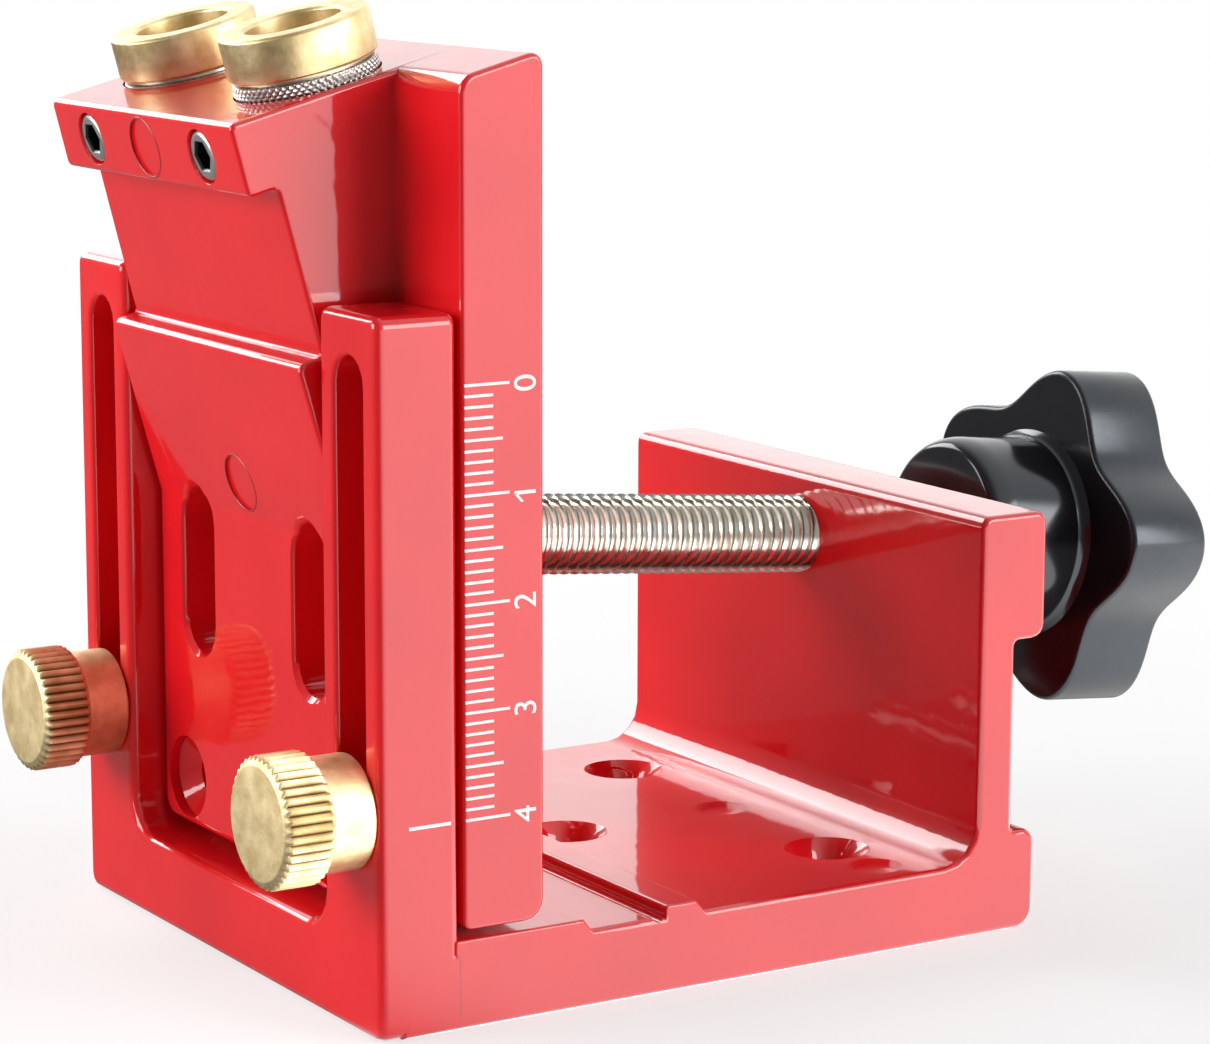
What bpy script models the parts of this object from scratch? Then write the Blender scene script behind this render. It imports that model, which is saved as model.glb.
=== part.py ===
# Pocket hole jig: a cast clamp body with a sliding drill-guide carriage.
#
# Frame of the model: +X is the side with the printed scale, -Y is the front with the two
# thumbscrews, +Z is up.  The origin is on the underside at mid width, directly below the
# carriage's rear face, which is the face that the board is clamped against.
#
# All lengths are in metres; MM turns the millimetre values below into metres.

import math

import bmesh
import bpy
from mathutils import Matrix, Vector

MM = 0.001

# Overall casting
WIDTH = 64.0 * MM              # body and carriage, side to side
EDGE_R = 0.9 * MM              # rounding of the castings' outer edges
SEAT_GAP = 0.3 * MM            # clearance between pieces that touch

# Carriage plate, the datum for everything along Y (its rear face is Y = 0)
PLATE_T = 8.6 * MM
PLATE_BOTTOM = 9.35 * MM       # height of its lower end at rest
BLOCK_BOTTOM = 9.65 * MM       # lower end of the guide block in front of it
PLATE_SIDE_R = 0.5 * MM         # rounding of its upright edges
PLATE_HEEL_R = 2.0 * MM        # rounded lower rear corner
PLATE_BROW_R = 1.9 * MM        # rounded top front edge
PLATE_TOE_R = 1.0 * MM
PLATE_CROWN_R = 1.1 * MM       # top rear edge

# Front frame of the body
SLIDE_GAP = 0.4 * MM           # between the frame's rear and the carriage's front
FRAME_T = 8.3 * MM
FRAME_H = 66.5 * MM
WINDOW_HALF = 20.9 * MM
WINDOW_FLOOR = 8.3 * MM
WINDOW_R = 4.0 * MM
SLOT_X = 26.4 * MM             # slots for the thumbscrews' studs
SLOT_W = 5.3 * MM
SLOT_TOP = 62.5 * MM
SLOT_EDGE = 0.6 * MM
FRAME_TOE_R = 1.45 * MM        # corners of the frame seen from the front: lower,
FRAME_TOP_R = 1.15 * MM        # upper outer
POST_TOP_R = 1.1 * MM          # and upper inner

# Base between the frame and the rear wall
FLOOR_Z = 7.5 * MM
LAND_Z = 8.6 * MM              # raised land that carries the front end
LAND_LEN = 13.3 * MM           # behind the frame
RIB_Y = 13.4 * MM              # locating rib, front edge
RIB_LEN = 3.5 * MM
STEP_SLOPE = 0.8               # run over rise of the land's and rib's rear slopes
STEP_R = 0.3 * MM
STEP_FOOT = 0.6 * MM           # how far the slopes run down into the floor
GROOVE_R = 0.5 * MM            # fine groove in front of the rib
GROOVE_Y = 12.6 * MM
JAW = 50.25 * MM               # carriage's rear face to the wall's front face

# Rear wall
WALL_H = 42.5 * MM
WALL_WEB = 4.25 * MM
WALL_FILLET = 4.0 * MM
FOOT_T = 7.2 * MM             # thick foot of the wall
FOOT_H = 10.2 * MM
BAND_T = 7.95 * MM             # thick band that takes the clamp screw
BAND_Z = 29.65 * MM
WALL_TOE_R = 2.0 * MM          # lower rear corner
WALL_REAR_R = 1.5 * MM         # rear corners of the foot and the band
WALL_NOOK_R = 0.6 * MM         # where the web meets them
WALL_TOP_R = 1.15 * MM

# Countersunk holes in the base and shallow cast marks beside them
BOLT_R = 2.5 * MM
BOLT_HEAD_R = 4.35 * MM
BOLT_SIDE_X = 19.4 * MM
BOLT_SIDE_Y = 40.8 * MM
BOLT_MID_Y = 21.6 * MM
MARK_R = 2.75 * MM
MARK_DEPTH = 0.45 * MM
MARK_MID = (0.3 * MM, 40.7 * MM)
MARK_SIDE = (27.4 * MM, 41.1 * MM)

# Guide block on the carriage, in the window of the frame
BLOCK_FACE = 13.8 * MM         # front face of the block, ahead of the datum
BLOCK_GAP = 0.4 * MM           # to the window on each side
BLOCK_TOP_HALF = 19.6 * MM     # the block narrows to this at the top
BREAK_Z = 43.3 * MM            # where the front face starts to lean
LEDGE_Y = 18.9 * MM            # front edge of the ledge, ahead of the datum
LEDGE_Z = 60.9 * MM
HEAD_STEP = 3.0 * MM           # head stands this far ahead of the face below it
HEAD_LEN = 6.85 * MM            # length of the head's front face along its slope
HEAD_WALL = 12.2 * MM          # drill axis to the head's front face
BLOCK_R = 0.7 * MM
LEDGE_R = 0.85 * MM
NOTCH_R = 0.5 * MM
BLOCK_PROUD = 0.05 * MM        # above the plate's sloping top face
BLOCK_TAIL = 1.5 * MM          # the block ends this far inside the plate
EJECTOR_R = 2.9 * MM           # shallow round marks on the head and on the leaning face
EJECTOR_DEPTH = 0.25 * MM
EJECTOR_UP = 0.21              # how far up the leaning face its mark is, as a share

# Drill guides
DRILL_TILT = math.radians(15.0)
DRILL_X = 12.0 * MM
DRILL_EXIT_Y = 13.35 * MM      # where the drill axis leaves the top face
DRILL_EXIT_Z = 86.0 * MM
DRILL_R = 4.55 * MM            # bore of the guide bushes
DRILL_RUN_R = 4.9 * MM         # bore in the casting below the bushes
SLEEVE_R = 6.0 * MM
SLEEVE_LEN = 23.4 * MM         # below its knurled head
SLEEVE_FIT = 0.1 * MM          # sliding clearance in the block
KNURL_R = 6.95 * MM
KNURL_H = 1.6 * MM
KNURL_SINK = 1.25 * MM         # depth of the recess for the knurled head
COLLAR_R = 7.1 * MM
COLLAR_H = 4.3 * MM
LINER_R = 5.35 * MM            # spigot of the brass bush inside the sleeve
LINER_LEN = 8.0 * MM
KNURL_CHAMFER = 0.3 * MM
BUSH_CHAMFER = 0.25 * MM
RIGHT_BUSH_RAISED = 1.15 * MM  # the right bush isn't pushed fully home

# Chip slots and blind recesses in the block's front face
CHIP_X = 11.95 * MM
CHIP_W = 6.6 * MM
CHIP_Z0 = 28.0 * MM
CHIP_Z1 = 44.5 * MM
RECESS_X = 15.1 * MM
RECESS_Z = 14.65 * MM
RECESS_R = 4.2 * MM
RECESS_DEPTH = 2.6 * MM
RECESS_HOLE_R = 2.2 * MM
RECESS_HOLE_DEPTH = 6.5 * MM
CHIP_FLARE = 1.7 * MM          # widening of the chip slots' mouths, ahead of the face

# Set screws that hold the bushes
GRUB_R = 2.45 * MM
GRUB_FIT = 0.1 * MM
GRUB_FROM_EDGE = 3.45 * MM      # down the head's face from its top edge
GRUB_MOUTH = 0.1 * MM           # countersink of the set screws' holes
GRUB_SUNK = 0.1 * MM
GRUB_HEX = 1.25 * MM           # half the width across flats
GRUB_HEX_DEPTH = 2.4 * MM
GRUB_CHAMFER = 0.35 * MM
GRUB_TIP = 1.0 * MM            # taper of the end that bears on the sleeve

# Thumbscrews
STUD_Z = 20.8 * MM             # height of the studs at rest
STUD_R = 2.45 * MM
STUD_FIT = 0.15 * MM
STUD_IN_PLATE = 6.5 * MM
THUMB_R = 6.2 * MM
THUMB_LEN = 5.05 * MM
THUMB_NECK_R = 5.4 * MM
THUMB_NECK_LEN = 4.1 * MM
THUMB_CHAMFER = 0.55 * MM
NECK_CHAMFER = 0.45 * MM

# Clamp screw; its thread is slack in the wall, so it lies a few degrees off level
CLAMP_TILT = math.radians(5.2)
CLAMP_Y = 54.4 * MM            # point of the axis inside the band
CLAMP_Z = 35.6 * MM
SCREW_R = 3.9 * MM
SCREW_FIT = 0.12 * MM
SCREW_CHAMFER = 0.7 * MM
FOOT_FACE = 49.8 * MM          # pressure foot's face, ahead of that point
PIVOT_R = 2.6 * MM             # neck that turns in the pressure foot
PIVOT_BEAD_R = 3.05 * MM
PIVOT_BEAD_LEN = 1.6 * MM
PIVOT_FIT = 0.3 * MM

# Pressure foot and the ring that keeps it on the screw
PAD_R = 8.5 * MM
PAD_T = 3.2 * MM
PAD_HUB_R = 5.6 * MM
PAD_LEN = 9.0 * MM
PAD_CHAMFER = 0.6 * MM
RING_R = 3.75 * MM
RING_HOLE_R = 2.8 * MM
RING_T = 0.9 * MM
RING_FIT = 0.25 * MM

# Star knob
HUB_NOSE_S = 14.45 * MM        # hub's end face, behind the axis point
HUB_NOSE_R = 9.1 * MM
HUB_R = 10.4 * MM
HUB_SHOULDER = 2.9 * MM        # length of the rounded nose
STAR_S = 26.2 * MM             # wall side of the star
STAR_T = 9.95 * MM
STAR_R = 16.55 * MM            # mean radius of the outline
STAR_WAVE = 2.1 * MM           # how far the lobes stand off it
STAR_LOBES = 5
STAR_TURN = math.radians(3.8)
STAR_EDGE = 0.6 * MM
STAR_BORE_DEPTH = 15.0 * MM    # screw's engagement in the knob
KNOB_FIT = 0.12 * MM

ROUND_STEPS = 32               # facets round a turned piece
FINE_STEPS = 40                # facets round a large or bold one
SMALL_STEPS = 24               # facets round a small one


# Scene and materials

for old in list(bpy.data.objects):
    bpy.data.objects.remove(old, do_unlink=True)

parts = bpy.data.collections.new("pocket_hole_jig")
cutters = bpy.data.collections.new("pocket_hole_jig_cutters")
bpy.context.scene.collection.children.link(parts)
bpy.context.scene.collection.children.link(cutters)


def material(name, color, roughness, metallic=0.0, coat=0.0):
    mat = bpy.data.materials.new(name)
    mat.use_nodes = True
    mat.diffuse_color = (*color, 1.0)
    shader = mat.node_tree.nodes["Principled BSDF"]
    shader.inputs["Base Color"].default_value = (*color, 1.0)
    shader.inputs["Roughness"].default_value = roughness
    shader.inputs["Metallic"].default_value = metallic
    shader.inputs["Coat Weight"].default_value = coat
    return mat


RED = (0.72, 0.008, 0.012)
BRASS = (0.72, 0.53, 0.25)
STEEL = (0.62, 0.60, 0.57)
BLACK = (0.012, 0.012, 0.014)


def finish(obj, mat):
    """Give a finished piece its material and smooth its round faces."""
    obj.data.materials.clear()
    obj.data.materials.append(mat)
    obj.data.shade_smooth()
    obj.data.set_sharp_from_angle(angle=math.radians(32))


# Shape helpers

def rounded(corners):
    """Turn (a, b, radius) corners into an outline with true arcs at the corners."""
    out = []
    count = len(corners)
    for i, (a, b, radius) in enumerate(corners):
        here = Vector((a, b))
        if radius <= 0:
            out.append(here)
            continue
        before = (Vector(corners[i - 1][:2]) - here).normalized()
        after = (Vector(corners[(i + 1) % count][:2]) - here).normalized()
        turn = math.pi - before.angle(after)
        reach = radius * math.tan(turn / 2)
        centre = here + (before + after).normalized() * (radius / math.cos(turn / 2))
        start = here + before * reach - centre
        end = here + after * reach - centre
        sweep = math.atan2(start.x * end.y - start.y * end.x, start.dot(end))
        steps = max(2, math.ceil(abs(turn) / math.radians(23)))
        for k in range(steps + 1):
            step = Matrix.Rotation(sweep * k / steps, 2)
            out.append(centre + step @ start)
    return out


def place_on(axis):
    """Matrix that lays a flat outline's (a, b) on YZ for axis X, or on XZ for axis Y."""
    if axis == "X":
        return Matrix(((0, 0, 1, 0), (1, 0, 0, 0), (0, 1, 0, 0), (0, 0, 0, 1)))
    return Matrix(((1, 0, 0, 0), (0, 0, -1, 0), (0, 1, 0, 0), (0, 0, 0, 1)))


def new_object(name, mesh, home):
    obj = bpy.data.objects.new(name, mesh)
    home.objects.link(obj)
    if home is cutters:
        obj.hide_render = True
        obj.display_type = "WIRE"
    return obj


def slab(name, outline, low, high, axis, home, edge_r=0.0, taper=None):
    """A flat outline extruded from low to high along the axis, its rim edges rounded."""
    curve = bpy.data.curves.new(name, "CURVE")
    curve.dimensions = "2D"
    curve.fill_mode = "BOTH"
    curve.extrude = (high - low) / 2
    spline = curve.splines.new("POLY")
    spline.points.add(len(outline) - 1)
    for point, (a, b) in zip(spline.points, outline):
        point.co = (a, b, 0, 1)
    spline.use_cyclic_u = True
    flat = bpy.data.objects.new(name + "_outline", curve)
    parts.objects.link(flat)
    graph = bpy.context.evaluated_depsgraph_get()
    mesh = bpy.data.meshes.new_from_object(flat.evaluated_get(graph))
    bpy.data.objects.remove(flat, do_unlink=True)
    mesh.name = name

    bm = bmesh.new()
    bm.from_mesh(mesh)
    bmesh.ops.remove_doubles(bm, verts=bm.verts, dist=1e-6)
    for side in (1, -1):
        cap = [f for f in bm.faces if f.normal.z * side > 0.999]
        if len(cap) > 1:
            bmesh.ops.dissolve_faces(bm, faces=cap)
    rim = [e for e in bm.edges if len(e.link_faces) == 2
           and any(abs(f.normal.z) > 0.999 for f in e.link_faces)
           and any(abs(f.normal.z) < 0.001 for f in e.link_faces)]
    middle = (low + high) / 2
    sign = 1 if axis == "X" else -1
    if edge_r:
        bmesh.ops.bevel(bm, geom=rim, offset=edge_r, segments=2, profile=0.5,
                        affect="EDGES", clamp_overlap=True)
    if taper:
        where, shape = taper
        geom = bm.verts[:] + bm.edges[:] + bm.faces[:]
        bmesh.ops.bisect_plane(bm, geom=geom, dist=1e-6, plane_co=(0, where, 0),
                               plane_no=(0, 1, 0))
        for v in bm.verts:
            v.co.z *= shape(v.co.y)
    bmesh.ops.translate(bm, verts=bm.verts, vec=(0, 0, middle * sign))
    bmesh.ops.transform(bm, matrix=place_on(axis), verts=bm.verts)
    for v in bm.verts:
        v.co = Vector(round(c, 7) for c in v.co)
    bmesh.ops.recalc_face_normals(bm, faces=bm.faces)
    bm.to_mesh(mesh)
    bm.free()
    return new_object(name, mesh, home)


def turned(name, profile, home, steps=ROUND_STEPS):
    """A turned solid about +Z.  The profile lists (radius, z), first point at the top on
    the axis or at the bore's top edge; a bored piece repeats its first point at the end."""
    mesh = bpy.data.meshes.new(name)
    points = [(max(r, 0.0), 0.0, z) for r, z in profile]
    closed = profile[0] == profile[-1]
    if closed:
        points = points[:-1]
    edges = [(i, i + 1) for i in range(len(points) - 1)]
    if closed:
        edges.append((len(points) - 1, 0))
    mesh.from_pydata(points, edges, [])
    obj = new_object(name, mesh, home)
    screw = obj.modifiers.new("turn", "SCREW")
    screw.axis = "Z"
    screw.steps = steps
    screw.render_steps = steps
    screw.use_merge_vertices = True
    screw.merge_threshold = 1e-6
    screw.use_normal_calculate = True
    graph = bpy.context.evaluated_depsgraph_get()
    solid = bpy.data.meshes.new_from_object(obj.evaluated_get(graph))
    obj.modifiers.clear()
    obj.data = solid
    bm = bmesh.new()
    bm.from_mesh(solid)
    bmesh.ops.remove_doubles(bm, verts=bm.verts, dist=1e-6)
    bmesh.ops.recalc_face_normals(bm, faces=bm.faces)
    bm.to_mesh(solid)
    bm.free()
    return obj


def cut(obj, cutter):
    """Cut a piece.  All of one piece's cutters sit in a collection of their own, and one
    Boolean takes them together."""
    name = obj.name + "_cutters"
    group = bpy.data.collections.get(name)
    if group is None:
        group = bpy.data.collections.new(name)
        cutters.children.link(group)
        mod = obj.modifiers.new("cuts", "BOOLEAN")
        mod.operation = "DIFFERENCE"
        mod.solver = "EXACT"
        mod.operand_type = "COLLECTION"
        mod.collection = group
    cutters.objects.unlink(cutter)
    group.objects.link(cutter)


def settle(obj):
    """Apply an object's modifiers and weld what the joins left closer than a micron."""
    graph = bpy.context.evaluated_depsgraph_get()
    mesh = bpy.data.meshes.new_from_object(obj.evaluated_get(graph))
    obj.modifiers.clear()
    obj.data = mesh
    bm = bmesh.new()
    bm.from_mesh(mesh)
    bmesh.ops.remove_doubles(bm, verts=bm.verts, dist=2e-6)
    bmesh.ops.dissolve_degenerate(bm, edges=bm.edges, dist=1e-6)
    bmesh.ops.triangulate(bm, faces=bm.faces)
    bm.to_mesh(mesh)
    bm.free()


def join(obj, *others):
    """Fuse other solids into obj and drop them."""
    for other in others:
        mod = obj.modifiers.new(other.name, "BOOLEAN")
        mod.operation = "UNION"
        mod.solver = "EXACT"
        mod.object = other
    settle(obj)
    for other in others:
        bpy.data.objects.remove(other, do_unlink=True)


def obround_loop(half_len, radius, steps=8):
    loop = []
    for end, start in ((1, 0.0), (-1, math.pi)):
        for k in range(steps + 1):
            t = start + math.pi * k / steps
            loop.append((radius * math.cos(t), end * half_len + radius * math.sin(t)))
    return loop


def slot_cutter(name, x, z0, z1, width, stations):
    """A cutter for an upright slot through the casting.  The stations list (y, extra
    radius) from front to rear, so that a mouth can flare."""
    middle, half_len = (z0 + z1) / 2, (z1 - z0 - width) / 2
    bm = bmesh.new()
    rings = []
    for y, extra in stations:
        loop = obround_loop(half_len, width / 2 + extra)
        rings.append([bm.verts.new((x + a, y, middle + b)) for a, b in loop])
    count = len(rings[0])
    for near, far in zip(rings, rings[1:]):
        for i in range(count):
            j = (i + 1) % count
            bm.faces.new((near[i], near[j], far[j], far[i]))
    bm.faces.new(rings[0])
    bm.faces.new(rings[-1])
    bmesh.ops.recalc_face_normals(bm, faces=bm.faces)
    mesh = bpy.data.meshes.new(name)
    bm.to_mesh(mesh)
    bm.free()
    return new_object(name, mesh, cutters)


def shallow_mark(name, radius, depth):
    """A cutter for a shallow round mark in a face at its own z = 0."""
    return turned(name, [(0, depth), (radius + depth, depth), (radius - depth, -depth),
                         (0, -depth)], cutters, ROUND_STEPS)


def aim(obj, point, direction):
    """Move a turned solid so that its +Z runs along direction from point."""
    turn = Vector(direction).normalized().to_track_quat("Z", "Y")
    obj.matrix_world = Matrix.Translation(point) @ turn.to_matrix().to_4x4()


# Places that several pieces share

frame_rear = -(PLATE_T + SLIDE_GAP)
frame_front = frame_rear - FRAME_T
side = WIDTH / 2
sin_t, cos_t = math.sin(DRILL_TILT), math.cos(DRILL_TILT)
drill_up = Vector((0, -sin_t, cos_t))
head_out = Vector((0, -cos_t, -sin_t))
drill_exit = Vector((0, -DRILL_EXIT_Y, DRILL_EXIT_Z))
clamp_back = Vector((0, math.cos(CLAMP_TILT), -math.sin(CLAMP_TILT)))
clamp_point = Vector((0, CLAMP_Y, CLAMP_Z))


def top_z(y):
    """Height of the carriage's sloping top face at y."""
    return DRILL_EXIT_Z + (y + DRILL_EXIT_Y) * math.tan(DRILL_TILT)


# Jig body: front frame, base and rear wall in one casting

def build_body():
    plate = slab("jig_body", rounded([
        (-side, 0, FRAME_TOE_R), (side, 0, FRAME_TOE_R),
        (side, FRAME_H, FRAME_TOP_R), (WINDOW_HALF, FRAME_H, POST_TOP_R),
        (WINDOW_HALF, WINDOW_FLOOR, WINDOW_R), (-WINDOW_HALF, WINDOW_FLOOR, WINDOW_R),
        (-WINDOW_HALF, FRAME_H, POST_TOP_R), (-side, FRAME_H, FRAME_TOP_R)]),
        frame_front, frame_rear, "Y", parts, EDGE_R)

    inside = frame_front + FRAME_T * 0.3
    lap = frame_rear - 0.5 * MM
    base = slab("base_and_wall", rounded([
        (inside, 0, 0), (JAW + FOOT_T, 0, WALL_TOE_R),
        (JAW + FOOT_T, FOOT_H, WALL_REAR_R), (JAW + WALL_WEB, FOOT_H, WALL_NOOK_R),
        (JAW + WALL_WEB, BAND_Z, WALL_NOOK_R), (JAW + BAND_T, BAND_Z, WALL_REAR_R),
        (JAW + BAND_T, WALL_H, WALL_TOP_R), (JAW, WALL_H, WALL_TOP_R),
        (JAW, FLOOR_Z, WALL_FILLET), (inside, FLOOR_Z, 0)]),
        -side, side, "X", parts, EDGE_R)

    buried = FLOOR_Z - EDGE_R - MM
    foot = FLOOR_Z - STEP_FOOT
    run = (LAND_Z - foot) * STEP_SLOPE
    for name, start, end in (("land", lap, frame_rear + LAND_LEN),
                             ("rib", RIB_Y, RIB_Y + RIB_LEN)):
        step = slab(name, rounded([
            (start, buried, 0), (end + run, buried, 0), (end + run, foot, 0),
            (end, LAND_Z, STEP_R), (start, LAND_Z, STEP_R)]),
            -side, side, "X", parts, STEP_R)
        join(base, step)
    join(plate, base)

    for tag, sign in (("left", -1), ("right", 1)):
        bottom = STUD_Z - SLOT_W / 2 - 0.1 * MM
        e = SLOT_EDGE
        cut(plate, slot_cutter(
            "stud_slot_" + tag, sign * SLOT_X, bottom, SLOT_TOP, SLOT_W, [
                (frame_front - 0.3 * e, 1.7 * e), (frame_front + 0.3 * e, 0.3 * e),
                (frame_front + e, 0), (frame_rear - 0.5 * e, 0), (frame_rear + 0.5 * e, e)]))

    def countersink(name, x, y):
        over = 1.0 * MM
        drop = BOLT_HEAD_R - BOLT_R
        hole = turned(name, [(0, FLOOR_Z + over), (BOLT_HEAD_R + over, FLOOR_Z + over),
                             (BOLT_R, FLOOR_Z - drop), (BOLT_R, -over), (0, -over)], cutters)
        hole.location = (x, y, 0)
        cut(plate, hole)

    countersink("bolt_left", -BOLT_SIDE_X, BOLT_SIDE_Y)
    countersink("bolt_right", BOLT_SIDE_X, BOLT_SIDE_Y)
    countersink("bolt_middle", 0, BOLT_MID_Y)
    for name, (x, y) in (("mark_middle", MARK_MID), ("mark_side", MARK_SIDE)):
        mark = shallow_mark(name, MARK_R, MARK_DEPTH)
        mark.location = (x, y, FLOOR_Z)
        cut(plate, mark)

    groove = turned("rib_groove", [(0, side + MM), (GROOVE_R, side + MM),
                                   (GROOVE_R, -side - MM), (0, -side - MM)], cutters, 12)
    aim(groove, (0, GROOVE_Y, FLOOR_Z), (1, 0, 0))
    cut(plate, groove)

    r = SCREW_R + SCREW_FIT
    reach = BAND_T
    tapped = turned("clamp_screw_hole", [
        (0, reach + 2 * MM), (r, reach + 2 * MM), (r, -reach - 2 * MM), (0, -reach - 2 * MM)],
        cutters)
    aim(tapped, clamp_point, clamp_back)
    cut(plate, tapped)
    return plate


# Guide carriage: plate, guide block with its head, bores and slots

def build_carriage():
    plate = slab("guide_carriage", rounded([
        (-PLATE_T, PLATE_BOTTOM, PLATE_TOE_R), (0, PLATE_BOTTOM, PLATE_HEEL_R),
        (0, top_z(0), PLATE_CROWN_R), (-PLATE_T, top_z(-PLATE_T), PLATE_BROW_R)]),
        -side, side, "X", parts, PLATE_SIDE_R)

    # The block's front is drawn from the drill axis: the head's face, the face below it
    # and the ledge are all square to the axis or along it.
    head_top = drill_exit + head_out * HEAD_WALL
    head_low = head_top - drill_up * HEAD_LEN
    notch = head_low - head_out * HEAD_STEP
    ledge = Vector((0, -LEDGE_Y, LEDGE_Z))
    along = (notch - ledge).dot(drill_up)
    inner = notch - drill_up * along
    # The block stands a hair above the plate's sloping top, so that no two faces of the
    # pieces that are joined lie in one plane.
    over = BLOCK_PROUD
    tail = -BLOCK_TAIL
    outline = rounded([
        (-BLOCK_FACE, BLOCK_BOTTOM, PLATE_TOE_R), (tail - MM, BLOCK_BOTTOM, 0),
        (tail, BLOCK_BOTTOM + 4 * MM, 0), (tail, top_z(tail) + over, 0),
        (head_top.y, head_top.z + over, BLOCK_R), (head_low.y, head_low.z, BLOCK_R),
        (notch.y, notch.z, NOTCH_R), (inner.y, inner.z, NOTCH_R),
        (ledge.y, ledge.z, LEDGE_R), (-BLOCK_FACE, BREAK_Z, 0)])
    low_half = WINDOW_HALF - BLOCK_GAP

    def narrowing(z):
        if z <= BREAK_Z:
            return 1.0
        share = (z - BREAK_Z) / (head_top.z - BREAK_Z)
        return 1.0 + (BLOCK_TOP_HALF / low_half - 1.0) * share

    block = slab("guide_block", outline, -low_half, low_half, "X", parts, BLOCK_R,
                 (BREAK_Z, narrowing))
    join(plate, block)

    # The block's lower corners follow the window's, ahead of the plate.
    round_r = WINDOW_R - BLOCK_GAP
    nudge = 0.03 * MM
    mid_x, mid_z = low_half - round_r + nudge, BLOCK_BOTTOM + round_r - nudge
    for tag, sign in (("left", -1), ("right", 1)):
        arc = [(mid_x + round_r * math.cos(t), mid_z - round_r * math.sin(t))
               for t in (math.radians(15 * k) for k in range(7))]
        spandrel = ([(mid_x - nudge, mid_z - round_r - MM), (mid_x + round_r + MM,
                     mid_z - round_r - MM), (mid_x + round_r + MM, mid_z)] + arc)
        cut(plate, slab("block_corner_" + tag, [(sign * x, z) for x, z in spandrel],
                        -BLOCK_FACE - MM, -PLATE_T - SLIDE_GAP * 0.5, "Y", cutters))

    head_mark = shallow_mark("head_mark", EJECTOR_R, EJECTOR_DEPTH)
    aim(head_mark, grub_mouth(0), head_out)
    cut(plate, head_mark)
    foot_of_lean = Vector((0, -BLOCK_FACE, BREAK_Z))
    lean = ledge - foot_of_lean
    block_mark = shallow_mark("block_mark", EJECTOR_R, EJECTOR_DEPTH)
    aim(block_mark, foot_of_lean + lean * EJECTOR_UP, (0, -lean.z, lean.y))
    cut(plate, block_mark)

    for tag, sign in (("left", -1), ("right", 1)):
        x = sign * DRILL_X
        head_r = KNURL_R + SLEEVE_FIT
        bore_r = SLEEVE_R + SLEEVE_FIT
        pocket = -(KNURL_SINK + SEAT_GAP + SLEEVE_LEN + SEAT_GAP)
        end = -(DRILL_EXIT_Z / cos_t)
        bore = turned("drill_bore_" + tag, [
            (0, 3 * MM), (head_r, 3 * MM), (head_r, -KNURL_SINK - SEAT_GAP),
            (bore_r, -KNURL_SINK - SEAT_GAP), (bore_r, pocket), (DRILL_RUN_R, pocket),
            (DRILL_RUN_R, end), (0, end)], cutters)
        aim(bore, drill_exit + Vector((x, 0, 0)), drill_up)
        cut(plate, bore)

        front = -BLOCK_FACE
        chip = slot_cutter("chip_slot_" + tag, sign * CHIP_X, CHIP_Z0, CHIP_Z1, CHIP_W, [
            (front - 0.7 * CHIP_FLARE, CHIP_FLARE), (front + 0.3 * CHIP_FLARE, 0), (MM, 0)])
        cut(plate, chip)

        recess = turned("recess_" + tag, [
            (0, 1 * MM), (RECESS_R, 1 * MM), (RECESS_R, -RECESS_DEPTH * 0.4),
            (RECESS_HOLE_R, -RECESS_DEPTH), (RECESS_HOLE_R, -RECESS_HOLE_DEPTH),
            (0, -RECESS_HOLE_DEPTH)], cutters, ROUND_STEPS)
        aim(recess, (sign * RECESS_X, front, RECESS_Z), (0, -1, 0))
        cut(plate, recess)

        r = GRUB_R + GRUB_FIT
        grub_hole = turned("grub_hole_" + tag, [
            (0, GRUB_MOUTH), (r + 2 * GRUB_MOUTH, GRUB_MOUTH), (r, -GRUB_MOUTH),
            (r, -HEAD_WALL + DRILL_R), (0, -HEAD_WALL + DRILL_R)], cutters, SMALL_STEPS)
        aim(grub_hole, grub_mouth(sign), head_out)
        cut(plate, grub_hole)

        stud_hole = turned("stud_hole_" + tag, [
            (0, 1 * MM), (STUD_R + STUD_FIT, 1 * MM), (STUD_R + STUD_FIT, -STUD_IN_PLATE - MM),
            (0, -STUD_IN_PLATE - MM)], cutters, SMALL_STEPS)
        aim(stud_hole, (sign * SLOT_X, -PLATE_T, STUD_Z), (0, -1, 0))
        cut(plate, stud_hole)
    return plate


def grub_mouth(sign):
    """Centre of a set screw's hole on the head's front face."""
    return (drill_exit + head_out * HEAD_WALL - drill_up * GRUB_FROM_EDGE
            + Vector((sign * DRILL_X, 0, 0)))


# Drill bushes: a steel sleeve with a knurled head and a brass bush pressed into it

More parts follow.
